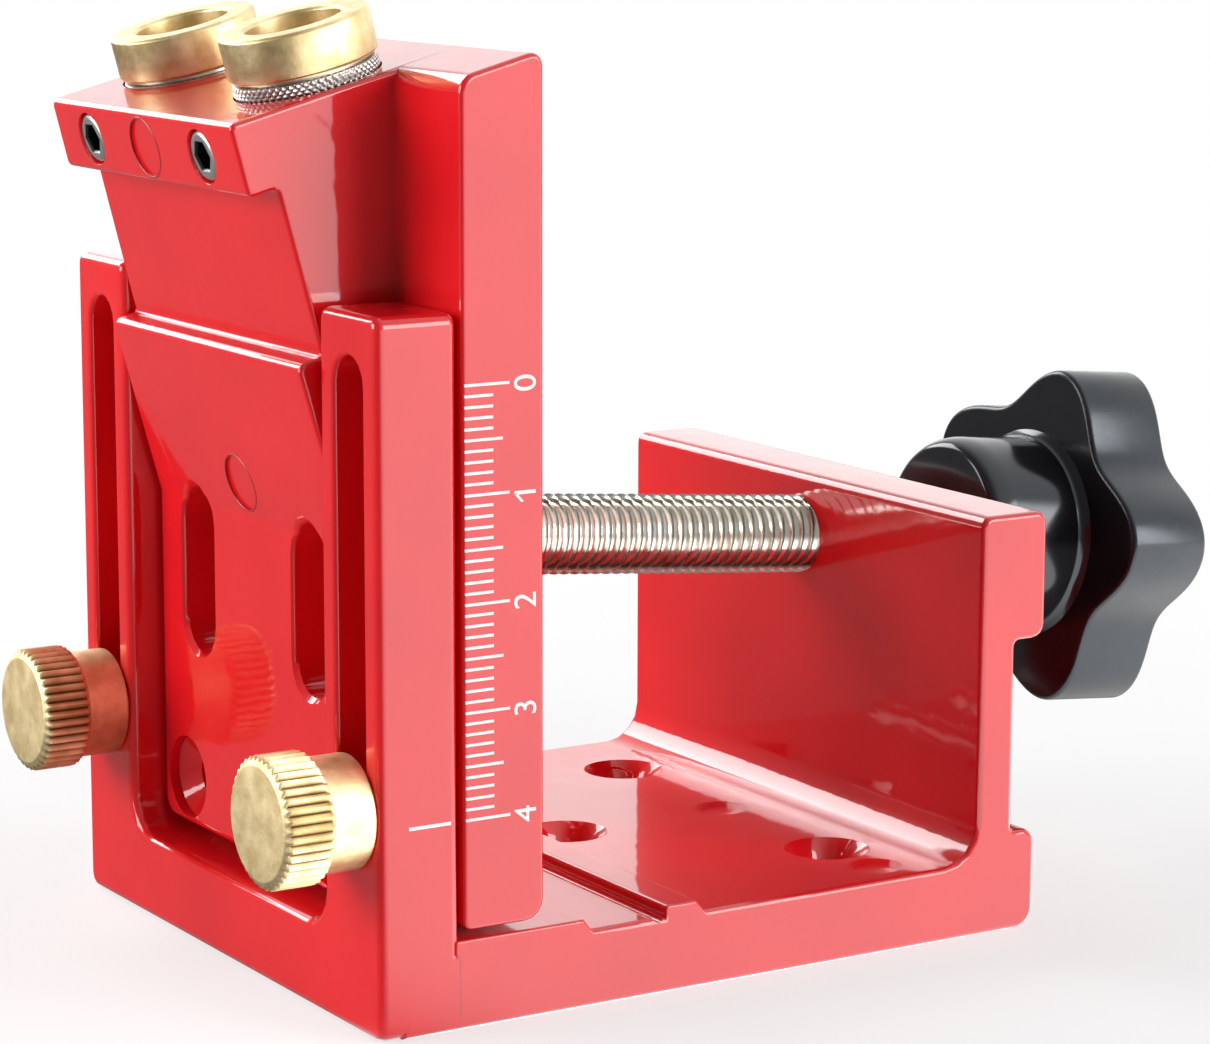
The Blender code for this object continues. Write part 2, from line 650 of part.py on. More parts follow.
def build_bush(tag, sign, raised):
    seat = drill_exit + Vector((sign * DRILL_X, 0, 0)) + drill_up * (raised - KNURL_SINK)
    c = BUSH_CHAMFER
    k = KNURL_CHAMFER
    mouth = LINER_R + SEAT_GAP
    deep = KNURL_H - LINER_LEN - 2 * SEAT_GAP
    sleeve = turned("guide_sleeve_" + tag, [
        (mouth, KNURL_H), (KNURL_R - k, KNURL_H), (KNURL_R, KNURL_H - k), (KNURL_R, k / 2),
        (KNURL_R - k / 2, 0), (SLEEVE_R, 0),
        (SLEEVE_R, -SLEEVE_LEN + c), (SLEEVE_R - c, -SLEEVE_LEN), (DRILL_R, -SLEEVE_LEN),
        (DRILL_R, deep), (mouth, deep), (mouth, KNURL_H)], parts)
    aim(sleeve, seat, drill_up)

    base = KNURL_H + 0.02 * MM
    top = base + COLLAR_H
    brass = turned("brass_bush_" + tag, [
        (DRILL_R + 0.5 * MM, top), (COLLAR_R - c, top), (COLLAR_R, top - c),
        (COLLAR_R, base + 0.2 * MM), (COLLAR_R - 0.2 * MM, base), (LINER_R, base),
        (LINER_R, KNURL_H - LINER_LEN), (DRILL_R, KNURL_H - LINER_LEN),
        (DRILL_R, top - 0.5 * MM), (DRILL_R + 0.5 * MM, top)], parts)
    aim(brass, seat, drill_up)
    return sleeve, brass


def build_grub(tag, sign):
    length = HEAD_WALL - SLEEVE_R - SEAT_GAP - GRUB_SUNK
    c = GRUB_CHAMFER
    grub = turned("bush_set_screw_" + tag, [
        (0, 0), (GRUB_R - c, 0), (GRUB_R, -c), (GRUB_R, -length + GRUB_TIP),
        (GRUB_R - GRUB_TIP, -length), (0, -length)], parts, SMALL_STEPS)
    aim(grub, grub_mouth(sign) - head_out * GRUB_SUNK, head_out)
    socket = turned("socket_" + tag, [
        (0, 1 * MM), (GRUB_HEX / math.cos(math.pi / 6), 1 * MM),
        (GRUB_HEX / math.cos(math.pi / 6), -GRUB_HEX_DEPTH),
        (0, -GRUB_HEX_DEPTH - 0.4 * MM)], cutters, 6)
    socket.matrix_world = grub.matrix_world.copy()
    cut(grub, socket)
    return grub


# Thumbscrews: knurled brass head, plain neck and a stud that reaches into the plate

def build_thumbscrew(tag, sign):
    c = THUMB_CHAMFER
    n = NECK_CHAMFER
    neck_end = -THUMB_LEN - THUMB_NECK_LEN
    reach = SEAT_GAP + FRAME_T + SLIDE_GAP + STUD_IN_PLATE
    screw = turned("thumbscrew_" + tag, [
        (0, 0), (THUMB_R - c, 0), (THUMB_R, -c), (THUMB_R, -THUMB_LEN + c),
        (THUMB_R - c, -THUMB_LEN), (THUMB_NECK_R, -THUMB_LEN), (THUMB_NECK_R, neck_end + n),
        (THUMB_NECK_R - n, neck_end), (STUD_R, neck_end),
        (STUD_R, neck_end - reach + 0.5 * MM), (STUD_R - 0.5 * MM, neck_end - reach),
        (0, neck_end - reach)], parts, FINE_STEPS)
    aim(screw, (sign * SLOT_X, frame_front - SEAT_GAP + neck_end, STUD_Z), (0, -1, 0))
    return screw


# Clamp: screw, pressure foot with its ring, and star knob, all on one tilted axis.
# Each piece's own z is the distance behind the axis point.

def build_clamp():
    bead_face = -FOOT_FACE + PAD_T + PIVOT_FIT
    bead_end = bead_face + PIVOT_BEAD_LEN
    shoulder = -FOOT_FACE + PAD_LEN + SEAT_GAP
    tail = HUB_NOSE_S + STAR_BORE_DEPTH
    c = SCREW_CHAMFER
    screw = turned("clamp_screw", [
        (0, tail), (SCREW_R - c, tail), (SCREW_R, tail - c), (SCREW_R, shoulder + c),
        (SCREW_R - c, shoulder), (PIVOT_R, shoulder), (PIVOT_R, bead_end),
        (PIVOT_BEAD_R, bead_end - 0.3 * MM), (PIVOT_BEAD_R, bead_face + 0.5 * MM),
        (PIVOT_BEAD_R - 0.5 * MM, bead_face), (0, bead_face)], parts)
    aim(screw, clamp_point, clamp_back)

    face = -FOOT_FACE
    ring_low = bead_end + PIVOT_FIT
    ring_high = ring_low + RING_T
    bore = PIVOT_BEAD_R + PIVOT_FIT
    groove = RING_R + RING_FIT
    p = PAD_CHAMFER
    rear = face + PAD_LEN
    foot = turned("pressure_foot", [
        (0, face + PAD_T), (bore, face + PAD_T), (bore, ring_low - RING_FIT),
        (groove, ring_low - RING_FIT), (groove, ring_high + RING_FIT),
        (bore, ring_high + RING_FIT), (bore, rear), (PAD_HUB_R - 0.5 * MM, rear),
        (PAD_HUB_R, rear - 0.5 * MM), (PAD_HUB_R, face + PAD_T + 1.4 * MM),
        (PAD_HUB_R + 0.4 * MM, face + PAD_T + 0.4 * MM), (PAD_HUB_R + 1.4 * MM, face + PAD_T),
        (PAD_R - p, face + PAD_T), (PAD_R, face + PAD_T - p), (PAD_R, face + p),
        (PAD_R - p, face), (0, face)], parts)
    aim(foot, clamp_point, clamp_back)

    ring = turned("foot_retaining_ring", [
        (RING_HOLE_R, ring_high), (RING_R, ring_high), (RING_R, ring_low),
        (RING_HOLE_R, ring_low), (RING_HOLE_R, ring_high)], parts)
    aim(ring, clamp_point, clamp_back)

    star_points = []
    count = STAR_LOBES * 14
    for k in range(count):
        t = 2 * math.pi * k / count
        r = STAR_R + STAR_WAVE * math.cos(STAR_LOBES * (t - STAR_TURN))
        star_points.append((r * math.cos(t), r * math.sin(t)))
    star = slab("star_knob", star_points, -STAR_S - STAR_T, -STAR_S, "Y", parts, STAR_EDGE)
    # The outline is drawn on XZ, so Y runs along the knob's axis before it is tilted.
    tilt = Matrix.Translation(clamp_point) @ Matrix.Rotation(-CLAMP_TILT, 4, "X")
    star.data.transform(Matrix.Scale(-1, 4, (0, 1, 0)))
    star.data.flip_normals()
    star.data.transform(tilt)
    nose_r = HUB_R - HUB_NOSE_R
    hub_end = STAR_S + STAR_T * 0.5
    hub = turned("knob_hub", [
        (0, hub_end), (HUB_R + 0.8 * MM, hub_end), (HUB_R + 0.8 * MM, STAR_S - 0.2 * MM),
        (HUB_R, STAR_S - 1.2 * MM), (HUB_R, HUB_NOSE_S + HUB_SHOULDER),
        (HUB_R - nose_r * 0.3, HUB_NOSE_S + HUB_SHOULDER * 0.45),
        (HUB_NOSE_R, HUB_NOSE_S), (0, HUB_NOSE_S)], parts, FINE_STEPS)
    aim(hub, clamp_point, clamp_back)
    join(star, hub)
    bore_r = SCREW_R + KNOB_FIT
    bore_cut = turned("knob_bore", [
        (0, tail + SEAT_GAP), (bore_r, tail + SEAT_GAP), (bore_r, HUB_NOSE_S - MM),
        (0, HUB_NOSE_S - MM)], cutters)
    aim(bore_cut, clamp_point, clamp_back)
    cut(star, bore_cut)
    return screw, foot, ring, star


body = build_body()
finish(body, material("red_enamel_body", RED, 0.16, coat=1.0))

carriage = build_carriage()
finish(carriage, material("red_enamel_carriage", RED, 0.16, coat=1.0))

for tag, sign, raised in (("left", -1, 0.0), ("right", 1, RIGHT_BUSH_RAISED)):
    sleeve, brass = build_bush(tag, sign, raised)
    finish(sleeve, material("sleeve_steel_" + tag, STEEL, 0.3, 1.0))
    finish(brass, material("bush_brass_" + tag, BRASS, 0.25, 1.0))
    finish(build_grub(tag, sign), material("set_screw_steel_" + tag, STEEL, 0.25, 1.0))
    finish(build_thumbscrew(tag, sign), material("thumbscrew_brass_" + tag, BRASS, 0.28, 1.0))

clamp_screw, foot, ring, knob = build_clamp()
finish(clamp_screw, material("screw_nickel", STEEL, 0.25, 1.0))
finish(foot, material("foot_steel", STEEL, 0.35, 1.0))
finish(ring, material("ring_steel", STEEL, 0.35, 1.0))
finish(knob, material("knob_black", BLACK, 0.22))
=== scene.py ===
# %% [markdown]
# # A pocket hole jig, dressed for its portrait
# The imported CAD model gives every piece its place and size.  This lesson adds what a machine
# shop and a paint booth would: rounded and enamelled castings, knurls, threads, a printed
# scale and soft studio light.  Everything is in metres, with +X towards the printed scale,
# -Y towards the thumbscrews and +Z up.

# %% Load the frame
import math

import bmesh
import bpy
from mathutils import Matrix, Vector


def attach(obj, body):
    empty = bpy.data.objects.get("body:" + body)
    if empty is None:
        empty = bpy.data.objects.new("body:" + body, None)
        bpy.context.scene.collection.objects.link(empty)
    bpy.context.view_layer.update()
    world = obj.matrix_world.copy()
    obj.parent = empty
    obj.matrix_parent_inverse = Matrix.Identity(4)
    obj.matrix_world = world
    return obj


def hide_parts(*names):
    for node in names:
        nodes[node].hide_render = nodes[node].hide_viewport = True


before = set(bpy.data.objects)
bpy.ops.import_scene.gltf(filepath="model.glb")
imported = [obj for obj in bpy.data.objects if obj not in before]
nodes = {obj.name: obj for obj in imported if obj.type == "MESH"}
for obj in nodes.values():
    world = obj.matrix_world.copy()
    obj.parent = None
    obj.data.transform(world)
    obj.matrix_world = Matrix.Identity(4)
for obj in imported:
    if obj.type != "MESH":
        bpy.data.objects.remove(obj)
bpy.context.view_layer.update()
MM = 0.001

# %% [markdown]
# ## The camera
# A photograph fixes its camera: the edges of the casting run towards vanishing points, and
# the printed centimetre scale gives the size.  The numbers below were solved from those
# edges.  A long lens stands about 38 cm away, turned 58 degrees to the right of the front and
# looking down by 10 degrees.

# %% Camera at the photograph's angle
CAMERA_PLACE = Vector((323.586, -174.471, 107.889)) * MM
CAMERA_TURN, CAMERA_DROP, CAMERA_ROLL = (math.radians(a) for a in (58.1804, 10.1988, 0.138))
LENS, SENSOR = 112.877, 36.0
NEAREST, FARTHEST = 0.01, 20.0


def add_camera():
    ahead = Vector((-math.sin(CAMERA_TURN) * math.cos(CAMERA_DROP),
                    math.cos(CAMERA_TURN) * math.cos(CAMERA_DROP), -math.sin(CAMERA_DROP)))
    right = ahead.cross(Vector((0, 0, 1))).normalized()
    up = right.cross(ahead)
    across = right * math.cos(CAMERA_ROLL) + up * math.sin(CAMERA_ROLL)
    upward = up * math.cos(CAMERA_ROLL) - right * math.sin(CAMERA_ROLL)
    turn = Matrix((across, upward, -ahead)).transposed()
    data = bpy.data.cameras.new("studio_camera")
    data.lens, data.sensor_width, data.sensor_fit = LENS, SENSOR, "HORIZONTAL"
    data.clip_start, data.clip_end = NEAREST, FARTHEST
    camera = bpy.data.objects.new("studio_camera", data)
    camera.matrix_world = Matrix.Translation(CAMERA_PLACE) @ turn.to_4x4()
    bpy.context.scene.collection.objects.link(camera)
    bpy.context.scene.camera = camera


add_camera()
print("camera stands", round(CAMERA_PLACE.length, 3), "m from the origin")

# %% [markdown]
# ## Building a material in code
# A material is a small graph of nodes.  Two helpers keep the graphs short: one adds a node
# and sets its inputs, the other makes a Principled shader with its plain values set directly
# on the sockets, so that they survive an export.  The rest are recipes for a surface: a
# cloudy tint, patches of more and less polish, and a fine relief.

# %% Helpers for materials
# Nearly all of a noise lies between these two values.
NOISE_LOW, NOISE_HIGH = 0.15, 0.85


def add_node(tree, kind, inputs=None, **settings):
    node = tree.nodes.new(kind)
    for key, value in settings.items():
        setattr(node, key, value)
    for key, value in (inputs or {}).items():
        if hasattr(value, "is_output"):
            tree.links.new(value, node.inputs[key])
        else:
            node.inputs[key].default_value = value
    return node


def calculate(tree, operation, *values):
    """The output of one Math node."""
    return add_node(tree, "ShaderNodeMath", dict(enumerate(values)), operation=operation).outputs[0]


def new_material(name, **values):
    material = bpy.data.materials.new(name)
    material.use_nodes = True
    tree = material.node_tree
    shader = tree.nodes["Principled BSDF"]
    for key, value in values.items():
        socket = shader.inputs[key.replace("_", " ")]
        socket.default_value = (*value, 1.0) if isinstance(value, tuple) else value
    where = add_node(tree, "ShaderNodeTexCoord")
    return material, tree, shader, where.outputs["Object"]


def noise(tree, where, size, detail=2.0, stretch=None):
    """Noise whose blobs are about size metres across, stretched along an axis if asked."""
    if stretch:
        where = add_node(tree, "ShaderNodeMapping", {"Vector": where, "Scale": stretch}).outputs[0]
    return add_node(tree, "ShaderNodeTexNoise",
                    {"Vector": where, "Scale": 1 / size, "Detail": detail}).outputs["Fac"]


def tint(tree, shader, factor, low, high, start=0.35, end=0.65):
    ramp = add_node(tree, "ShaderNodeValToRGB", {"Fac": factor})
    for stop, position, color in zip(ramp.color_ramp.elements, (start, end), (low, high)):
        stop.position = position
        stop.color = (*color, 1)
    tree.links.new(ramp.outputs["Color"], shader.inputs["Base Color"])


def vary_roughness(tree, shader, factor, low, high):
    spread = add_node(tree, "ShaderNodeMapRange", {
        "Value": factor, "From Min": NOISE_LOW, "From Max": NOISE_HIGH,
        "To Min": low, "To Max": high})
    tree.links.new(spread.outputs["Result"], shader.inputs["Roughness"])


def emboss(tree, shader, height, depth):
    """Bump from a height of 0 to 1 that stands for depth metres."""
    bump = add_node(tree, "ShaderNodeBump", {"Height": height, "Distance": depth})
    tree.links.new(bump.outputs["Normal"], shader.inputs["Normal"])
    return bump.outputs["Normal"]


# %% [markdown]
# ## Red enamel
# The castings are sprayed and stoved: a deep red with a thick clear gloss.  Such paint is
# never quite flat.  It has the faint ripple that painters call orange peel, which a low bump
# gives, and it flows a little darker and lighter over the metal.

# %% Enamel
RED_DEEP, RED_BRIGHT = (0.57, 0.003, 0.008), (0.73, 0.008, 0.012)
LINE_DEEP, LINE_BRIGHT = (0.30, 0.002, 0.004), (0.38, 0.003, 0.006)
FLOW_SIZE, POLISH_SIZE = 16 * MM, 6 * MM
PEEL_SIZE, PEEL_DEPTH = 2.4 * MM, 0.020 * MM

enamel, tree, shader, where = new_material(
    "red_enamel", Roughness=0.3, Coat_Weight=1.0, Coat_Roughness=0.05, Coat_IOR=1.5,
    Specular_IOR_Level=0.08)
tint(tree, shader, noise(tree, where, FLOW_SIZE, 1), RED_DEEP, RED_BRIGHT, start=0.1, end=0.9)
vary_roughness(tree, shader, noise(tree, where, POLISH_SIZE, 1), 0.31, 0.40)
ripple = emboss(tree, shader, noise(tree, where, PEEL_SIZE, 1), PEEL_DEPTH)
tree.links.new(ripple, shader.inputs["Coat Normal"])

# A darker red: the joint line between frame and base, and painted shade in the rims of the ejector
# marks.
enamel_line, tree, shader, where = new_material(
    "red_enamel_line", Roughness=0.4, Coat_Weight=0.6, Coat_Roughness=0.2)
tint(tree, shader, noise(tree, where, 1.5 * MM), LINE_DEEP, LINE_BRIGHT)
print("enamel and its darker line are mixed")

# %% [markdown]
# ## Brass, steel and nickel
# Bare metals take their colour from what they mirror, so each has only a base tint, and the
# interest lies in the surface: a few brighter and duller patches and a sparkle of fine pits,
# deepest on the sawn and tumbled brass of the thumbscrews, which is also paler and duller
# than the turned brass of the bushes.  The bottoms of a knurl are darker, partly from oil and
# dust and partly as painted shade.
# The knurl recipe further down leaves its depth in an attribute, and the metals read it.

# %% Metals
BRASS_TINTS = (0.56, 0.42, 0.20), (0.76, 0.60, 0.34)
SAWN_TINTS = (0.68, 0.52, 0.27), (0.90, 0.73, 0.43)
STEEL_TINTS = (0.58, 0.56, 0.53), (0.72, 0.70, 0.67)
NICKEL_TINTS = (0.82, 0.79, 0.73), (0.92, 0.90, 0.85)
# How dark the bottoms of a knurl turn: partly oil and dust, partly painted shade.
BRASS_GRIME_AND_SHADE, STEEL_GRIME_AND_SHADE, NICKEL_GRIME_AND_SHADE = (0.10, 0.05, 0.015), (0.10, 0.09, 0.08), (0.3, 0.28, 0.25)
CLOUD_SIZE, PATCH_SIZE = 2.2 * MM, 0.8 * MM


def metal(name, tints, grime_and_shade, rough, pit_size, pit_depth):
    material, tree, shader, where = new_material(name, Metallic=1.0)
    tint(tree, shader, noise(tree, where, CLOUD_SIZE, 4), *tints)
    clean = shader.inputs["Base Color"].links[0].from_socket
    groove = add_node(tree, "ShaderNodeAttribute", attribute_name="groove").outputs["Fac"]
    soiled_and_shaded = add_node(tree, "ShaderNodeMixRGB", {
        "Fac": groove, "Color1": clean, "Color2": (*grime_and_shade, 1)})
    tree.links.new(soiled_and_shaded.outputs[0], shader.inputs["Base Color"])
    vary_roughness(tree, shader, noise(tree, where, PATCH_SIZE, 4), *rough)
    emboss(tree, shader, noise(tree, where, pit_size, 2), pit_depth)
    return material


brass = metal("brass", BRASS_TINTS, BRASS_GRIME_AND_SHADE, (0.34, 0.50), 0.34 * MM, 0.014 * MM)
sawn = metal("sawn_brass", SAWN_TINTS, BRASS_GRIME_AND_SHADE, (0.48, 0.62), 0.30 * MM, 0.020 * MM)
steel = metal("plain_steel", STEEL_TINTS, STEEL_GRIME_AND_SHADE, (0.30, 0.40), 0.20 * MM, 0.005 * MM)
nickel = metal("nickel_plate", NICKEL_TINTS, NICKEL_GRIME_AND_SHADE, (0.14, 0.22), 0.5 * MM, 0.003 * MM)
print("metals:", [m.name for m in (brass, sawn, steel, nickel)])

# %% [markdown]
# ## Black plastic and white print
# The knob is moulded in one black plastic.  Its broad faces are polished and hardly rippled,
# and its rim is satin, with very fine lines along it.  The scale's white ink is matt.

# %% Plastic and ink
GLOSS_BLACKS = (0.004, 0.004, 0.005), (0.008, 0.008, 0.010)
SATIN_BLACKS = (0.004, 0.005, 0.006), (0.010, 0.012, 0.015)
INK_WHITES = (0.78, 0.77, 0.76), (0.90, 0.89, 0.88)
LINE_STRETCH = (1, 0.06, 1)

black_gloss, tree, shader, where = new_material(
    "black_gloss", Roughness=0.14, Specular_IOR_Level=0.45, Specular_Tint=(0.88, 0.94, 1.0))
tint(tree, shader, noise(tree, where, 6 * MM), *GLOSS_BLACKS)
emboss(tree, shader, noise(tree, where, 4 * MM, 0), 0.008 * MM)

# The walls of the set screws' sockets take this black too, as painted shade.
black_satin, tree, shader, where = new_material(
    "black_satin", Specular_IOR_Level=0.46, Specular_Tint=(0.84, 0.92, 1.0))
tint(tree, shader, noise(tree, where, 4 * MM), *SATIN_BLACKS)
vary_roughness(tree, shader, noise(tree, where, 1.2 * MM, 3), 0.22, 0.30)
emboss(tree, shader, noise(tree, where, 0.25 * MM, 2, LINE_STRETCH), 0.006 * MM)

white_print, tree, shader, where = new_material("white_print", Roughness=0.45)
tint(tree, shader, noise(tree, where, 0.6 * MM), *INK_WHITES)
print("plastic and ink:", [m.name for m in (black_gloss, black_satin, white_print)])

# %% [markdown]
# ## Placing finished pieces
# The frame wants each piece as a plain mesh whose object sits at the origin.  A piece is
# drawn where it is easiest, most often standing on the Z axis, and `put` then moves its mesh
# to its place, hangs it on a CAD body and hides the CAD node that it stands for.

# %% Helpers for pieces
# Edges that turn by more degrees than this stay crisp on a turned piece.
TURNED_CRISP = 30


def smooth(obj, angle):
    obj.data.shade_smooth()
    obj.data.set_sharp_from_angle(angle=math.radians(angle))


def mesh_object(name, mesh):
    obj = bpy.data.objects.new(name, mesh)
    bpy.context.scene.collection.objects.link(obj)
    return obj


def built(name, bm):
    """The object that a finished bmesh makes."""
    mesh = bpy.data.meshes.new(name)
    bm.to_mesh(mesh)
    bm.free()
    return mesh_object(name, mesh)


def evaluated_mesh(obj):
    graph = bpy.context.evaluated_depsgraph_get()
    return bpy.data.meshes.new_from_object(obj.evaluated_get(graph))


def bake(obj):
    """Replace an object's mesh by what its modifiers make of it, and drop them."""
    mesh = evaluated_mesh(obj)
    obj.modifiers.clear()
    obj.data = mesh


def put(obj, body, stands_for=(), material=None, place=None, angle=TURNED_CRISP):
    if place is not None:
        obj.data.transform(place)
    if material is not None:
        obj.data.materials.clear()
        obj.data.materials.append(material)
    if angle:
        smooth(obj, angle)
    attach(obj, body)
    if stands_for:
        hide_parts(*stands_for)
    print(obj.name, "on", body, "has", len(obj.data.polygons), "faces")


def standing(point, direction):
    """The matrix that takes +Z to direction and the origin to point."""
    turn = Vector(direction).normalized().to_track_quat("Z", "Y").to_matrix().to_4x4()
    return Matrix.Translation(point) @ turn


def lathe(name, profile, around=96):
    """A turned solid about Z from (radius, z) points that run down its outer side.  A bored
    piece repeats its first point at the end."""
    bored = profile[0] == profile[-1]
    points = profile[:-1] if bored else profile
    bm = bmesh.new()
    rings = []
    for r, z in points:
        if r == 0:
            rings.append([bm.verts.new((0, 0, z))])
        else:
            angles = (2 * math.pi * k / around for k in range(around))
            rings.append([bm.verts.new((r * math.cos(t), r * math.sin(t), z)) for t in angles])
    pairs = list(zip(rings, rings[1:])) + ([(rings[-1], rings[0])] if bored else [])
    for upper, lower in pairs:
        for k in range(around):
            n = (k + 1) % around
            corners = [upper[k % len(upper)], lower[k % len(lower)], lower[n % len(lower)],
                       upper[n % len(upper)]]
            corners = list(dict.fromkeys(corners))
            if len(corners) > 2:
                bm.faces.new(corners)
    bmesh.ops.recalc_face_normals(bm, faces=bm.faces)
    return built(name, bm)


def eased(profile, radius, steps=3, most=0.45):
    """Round the corners of an open profile, each by at most radius and by at most that
    share of the two sides beside it."""
    out = [profile[0]]
    for before, here, after in zip(profile, profile[1:], profile[2:]):
        a, b, c = Vector(before), Vector(here), Vector(after)
        cut = min(radius, (a - b).length * most, (c - b).length * most)
        start, end = b + (a - b).normalized() * cut, b + (c - b).normalized() * cut
        for k in range(steps + 1):
            t = k / steps
            out.append(tuple((1 - t) ** 2 * start + 2 * t * (1 - t) * b + t ** 2 * end))
    return out + [profile[-1]]


# %% [markdown]
# ## Geometry Nodes from a script
# What repeats by a rule is made with Geometry Nodes.  A tree is built once, its sizes are
# named inputs, and `grow` runs it on a mesh and keeps the result as a plain mesh.

# %% Helpers for Geometry Nodes
class Recipe:
    """A Geometry Nodes tree with named inputs."""

    def __init__(self, name, sizes):
        self.tree = bpy.data.node_groups.new(name, "GeometryNodeTree")
        face = self.tree.interface
        face.new_socket("Geometry", in_out="OUTPUT", socket_type="NodeSocketGeometry")
        face.new_socket("Geometry", in_out="INPUT", socket_type="NodeSocketGeometry")
        kinds = {float: "NodeSocketFloat", int: "NodeSocketInt"}
        self.keys = {label: face.new_socket(label, in_out="INPUT",
                                            socket_type=kinds[kind]).identifier
                     for label, kind in sizes.items()}
        self.keys["Material"] = face.new_socket(
            "Material", in_out="INPUT", socket_type="NodeSocketMaterial").identifier
        self.source = self.tree.nodes.new("NodeGroupInput")
        self.sink = self.tree.nodes.new("NodeGroupOutput")

    def size(self, label):
        return self.source.outputs[label]

    def add(self, kind, inputs=None, **settings):
        return add_node(self.tree, kind, inputs, **settings)

    def math(self, operation, *values):
        return calculate(self.tree, operation, *values)

    def end(self, geometry):
        solid = self.add("GeometryNodeRealizeInstances", {"Geometry": geometry})
        dressed = self.add("GeometryNodeSetMaterial", {
            "Geometry": solid.outputs[0], "Material": self.size("Material")})
        self.tree.links.new(dressed.outputs[0], self.sink.inputs[0])
        print("recipe", self.tree.name, "has", len(self.tree.nodes), "nodes")

    def grow(self, obj, material, **sizes):
        """Run the recipe on an object and keep the plain mesh."""
        modifier = obj.modifiers.new(self.tree.name, "NODES")
        modifier.node_group = self.tree
        modifier[self.keys["Material"]] = material
        for label, value in sizes.items():
            modifier[self.keys[label.replace("_", " ")]] = value
        obj.update_tag()
        bake(obj)


# %% [markdown]
# ## The two castings
# Both castings come straight from the CAD solids, which already have their rounded rims.
# A painted casting has no truly sharp edge anywhere, so the mouths of the holes and slots
# get a small bevel here as well, and weighted normals keep the broad faces flat to the eye.

# %% Body and carriage
HOLE_EASE, EASE_STEPS, EASE_ABOVE = 0.28 * MM, 3, math.radians(50)
FLAT_WITHIN = math.radians(0.5)
CASTING_CRISP = 38
FACE_WEIGHT = 100
BODY_WELD = 0.002 * MM
# In the solid, the guide block's top stands 0.05 mm above the plate's.  Welding points that
# close makes the two one face.
CARRIAGE_WELD = 0.055 * MM


def painted_casting(name, node, body, weld):
    bm = bmesh.new()
    bm.from_mesh(nodes[node].data)
    bmesh.ops.remove_doubles(bm, verts=bm.verts, dist=weld)
    bmesh.ops.dissolve_limit(bm, angle_limit=FLAT_WITHIN, verts=bm.verts, edges=bm.edges)
    obj = built(name, bm)
    ease = obj.modifiers.new("ease", "BEVEL")
    ease.width, ease.segments, ease.limit_method = HOLE_EASE, EASE_STEPS, "ANGLE"
    ease.angle_limit, ease.use_clamp_overlap = EASE_ABOVE, True
    bake(obj)
    smooth(obj, CASTING_CRISP)
    flat = obj.modifiers.new("flat", "WEIGHTED_NORMAL")
    flat.weight, flat.keep_sharp = FACE_WEIGHT, True
    bake(obj)
    put(obj, body, (node,), enamel, angle=None)


painted_casting("painted_body", "jig_body", "body", BODY_WELD)
painted_casting("painted_carriage", "guide_carriage", "carriage", CARRIAGE_WELD)

# %% [markdown]
# ## Places that the small pieces need
# The drill guides lean 15 degrees towards the front, and the clamp screw lies a little off
# level.  The same few values that place them in the CAD model are written once here.

# %% Shared places
DRILL_TILT = math.radians(15.0)
DRILL_UP = Vector((0, -math.sin(DRILL_TILT), math.cos(DRILL_TILT)))
HEAD_OUT = Vector((0, -math.cos(DRILL_TILT), -math.sin(DRILL_TILT)))
DRILL_EXIT = Vector((0, -13.35, 86.0)) * MM
DRILL_X = 12.0 * MM
KNURL_SINK = 1.25 * MM
RAISED = {"left": 0.0, "right": 1.15 * MM}
SIGNS = {"left": -1, "right": 1}
# In millimetres: from the drills' axes to the head's face, from there in to the set screws'
# faces, and from the drills' exit down to the set screws' axes.
HEAD_WALL, GRUB_SUNK, GRUB_DOWN = 12.2, 0.1, 3.45
CLAMP_TILT = math.radians(5.2)
CLAMP_BACK = Vector((0, math.cos(CLAMP_TILT), -math.sin(CLAMP_TILT)))
CLAMP_POINT = Vector((0, 54.4, 35.6)) * MM


def on_head(out):
    """The point midway between the set screws, out millimetres in front of the drills' axes."""
    return DRILL_EXIT + (HEAD_OUT * out - DRILL_UP * GRUB_DOWN) * MM


print("drills leave the head at", [round(c / MM, 1) for c in DRILL_EXIT], "mm")

# %% [markdown]
# ## A knurl by rule
# A knurl is a wave pressed into a turned surface.  One wave that runs straight along the
# axis gives the grip of the thumbscrews, and the lower of two waves that lean opposite ways
# gives the diamonds on the guide sleeves.  The recipe pushes the points of a turned mesh in
# and out by that wave, and fades it at both ends of the band.

# %% The knurl recipe
# Points nearer the axis than this many depths stay put.
CORE = 9.0
# Whole waves added to keep the argument of the wave positive.  They don't shift it.
WHOLE_WAVES = 500.0

knurl = Recipe("knurl", {"Teeth": float, "Depth": float, "Low": float, "High": float,
                         "Fade": float, "Lean": float})
where = knurl.add("GeometryNodeInputPosition").outputs[0]
split = knurl.add("ShaderNodeSeparateXYZ", {"Vector": where})
angle = knurl.math("ARCTAN2", split.outputs["Y"], split.outputs["X"])
count = knurl.math("MULTIPLY", knurl.math("DIVIDE", angle, 2 * math.pi), knurl.size("Teeth"))
lean = knurl.math("MULTIPLY", split.outputs["Z"], knurl.size("Lean"))
slants = [knurl.math("ADD", knurl.math(way, count, lean), WHOLE_WAVES)
          for way in ("ADD", "SUBTRACT")]
waves = [knurl.math("PINGPONG", slant, 0.5) for slant in slants]
wave = knurl.math("MULTIPLY", knurl.math("MINIMUM", *waves), 2.0)
rise = knurl.add("ShaderNodeMapRange", {
    "Value": split.outputs["Z"], "From Min": knurl.size("Low"),
    "From Max": knurl.math("ADD", knurl.size("Low"), knurl.size("Fade"))})
fall = knurl.add("ShaderNodeMapRange", {
    "Value": split.outputs["Z"], "From Min": knurl.size("High"),
    "From Max": knurl.math("SUBTRACT", knurl.size("High"), knurl.size("Fade"))})
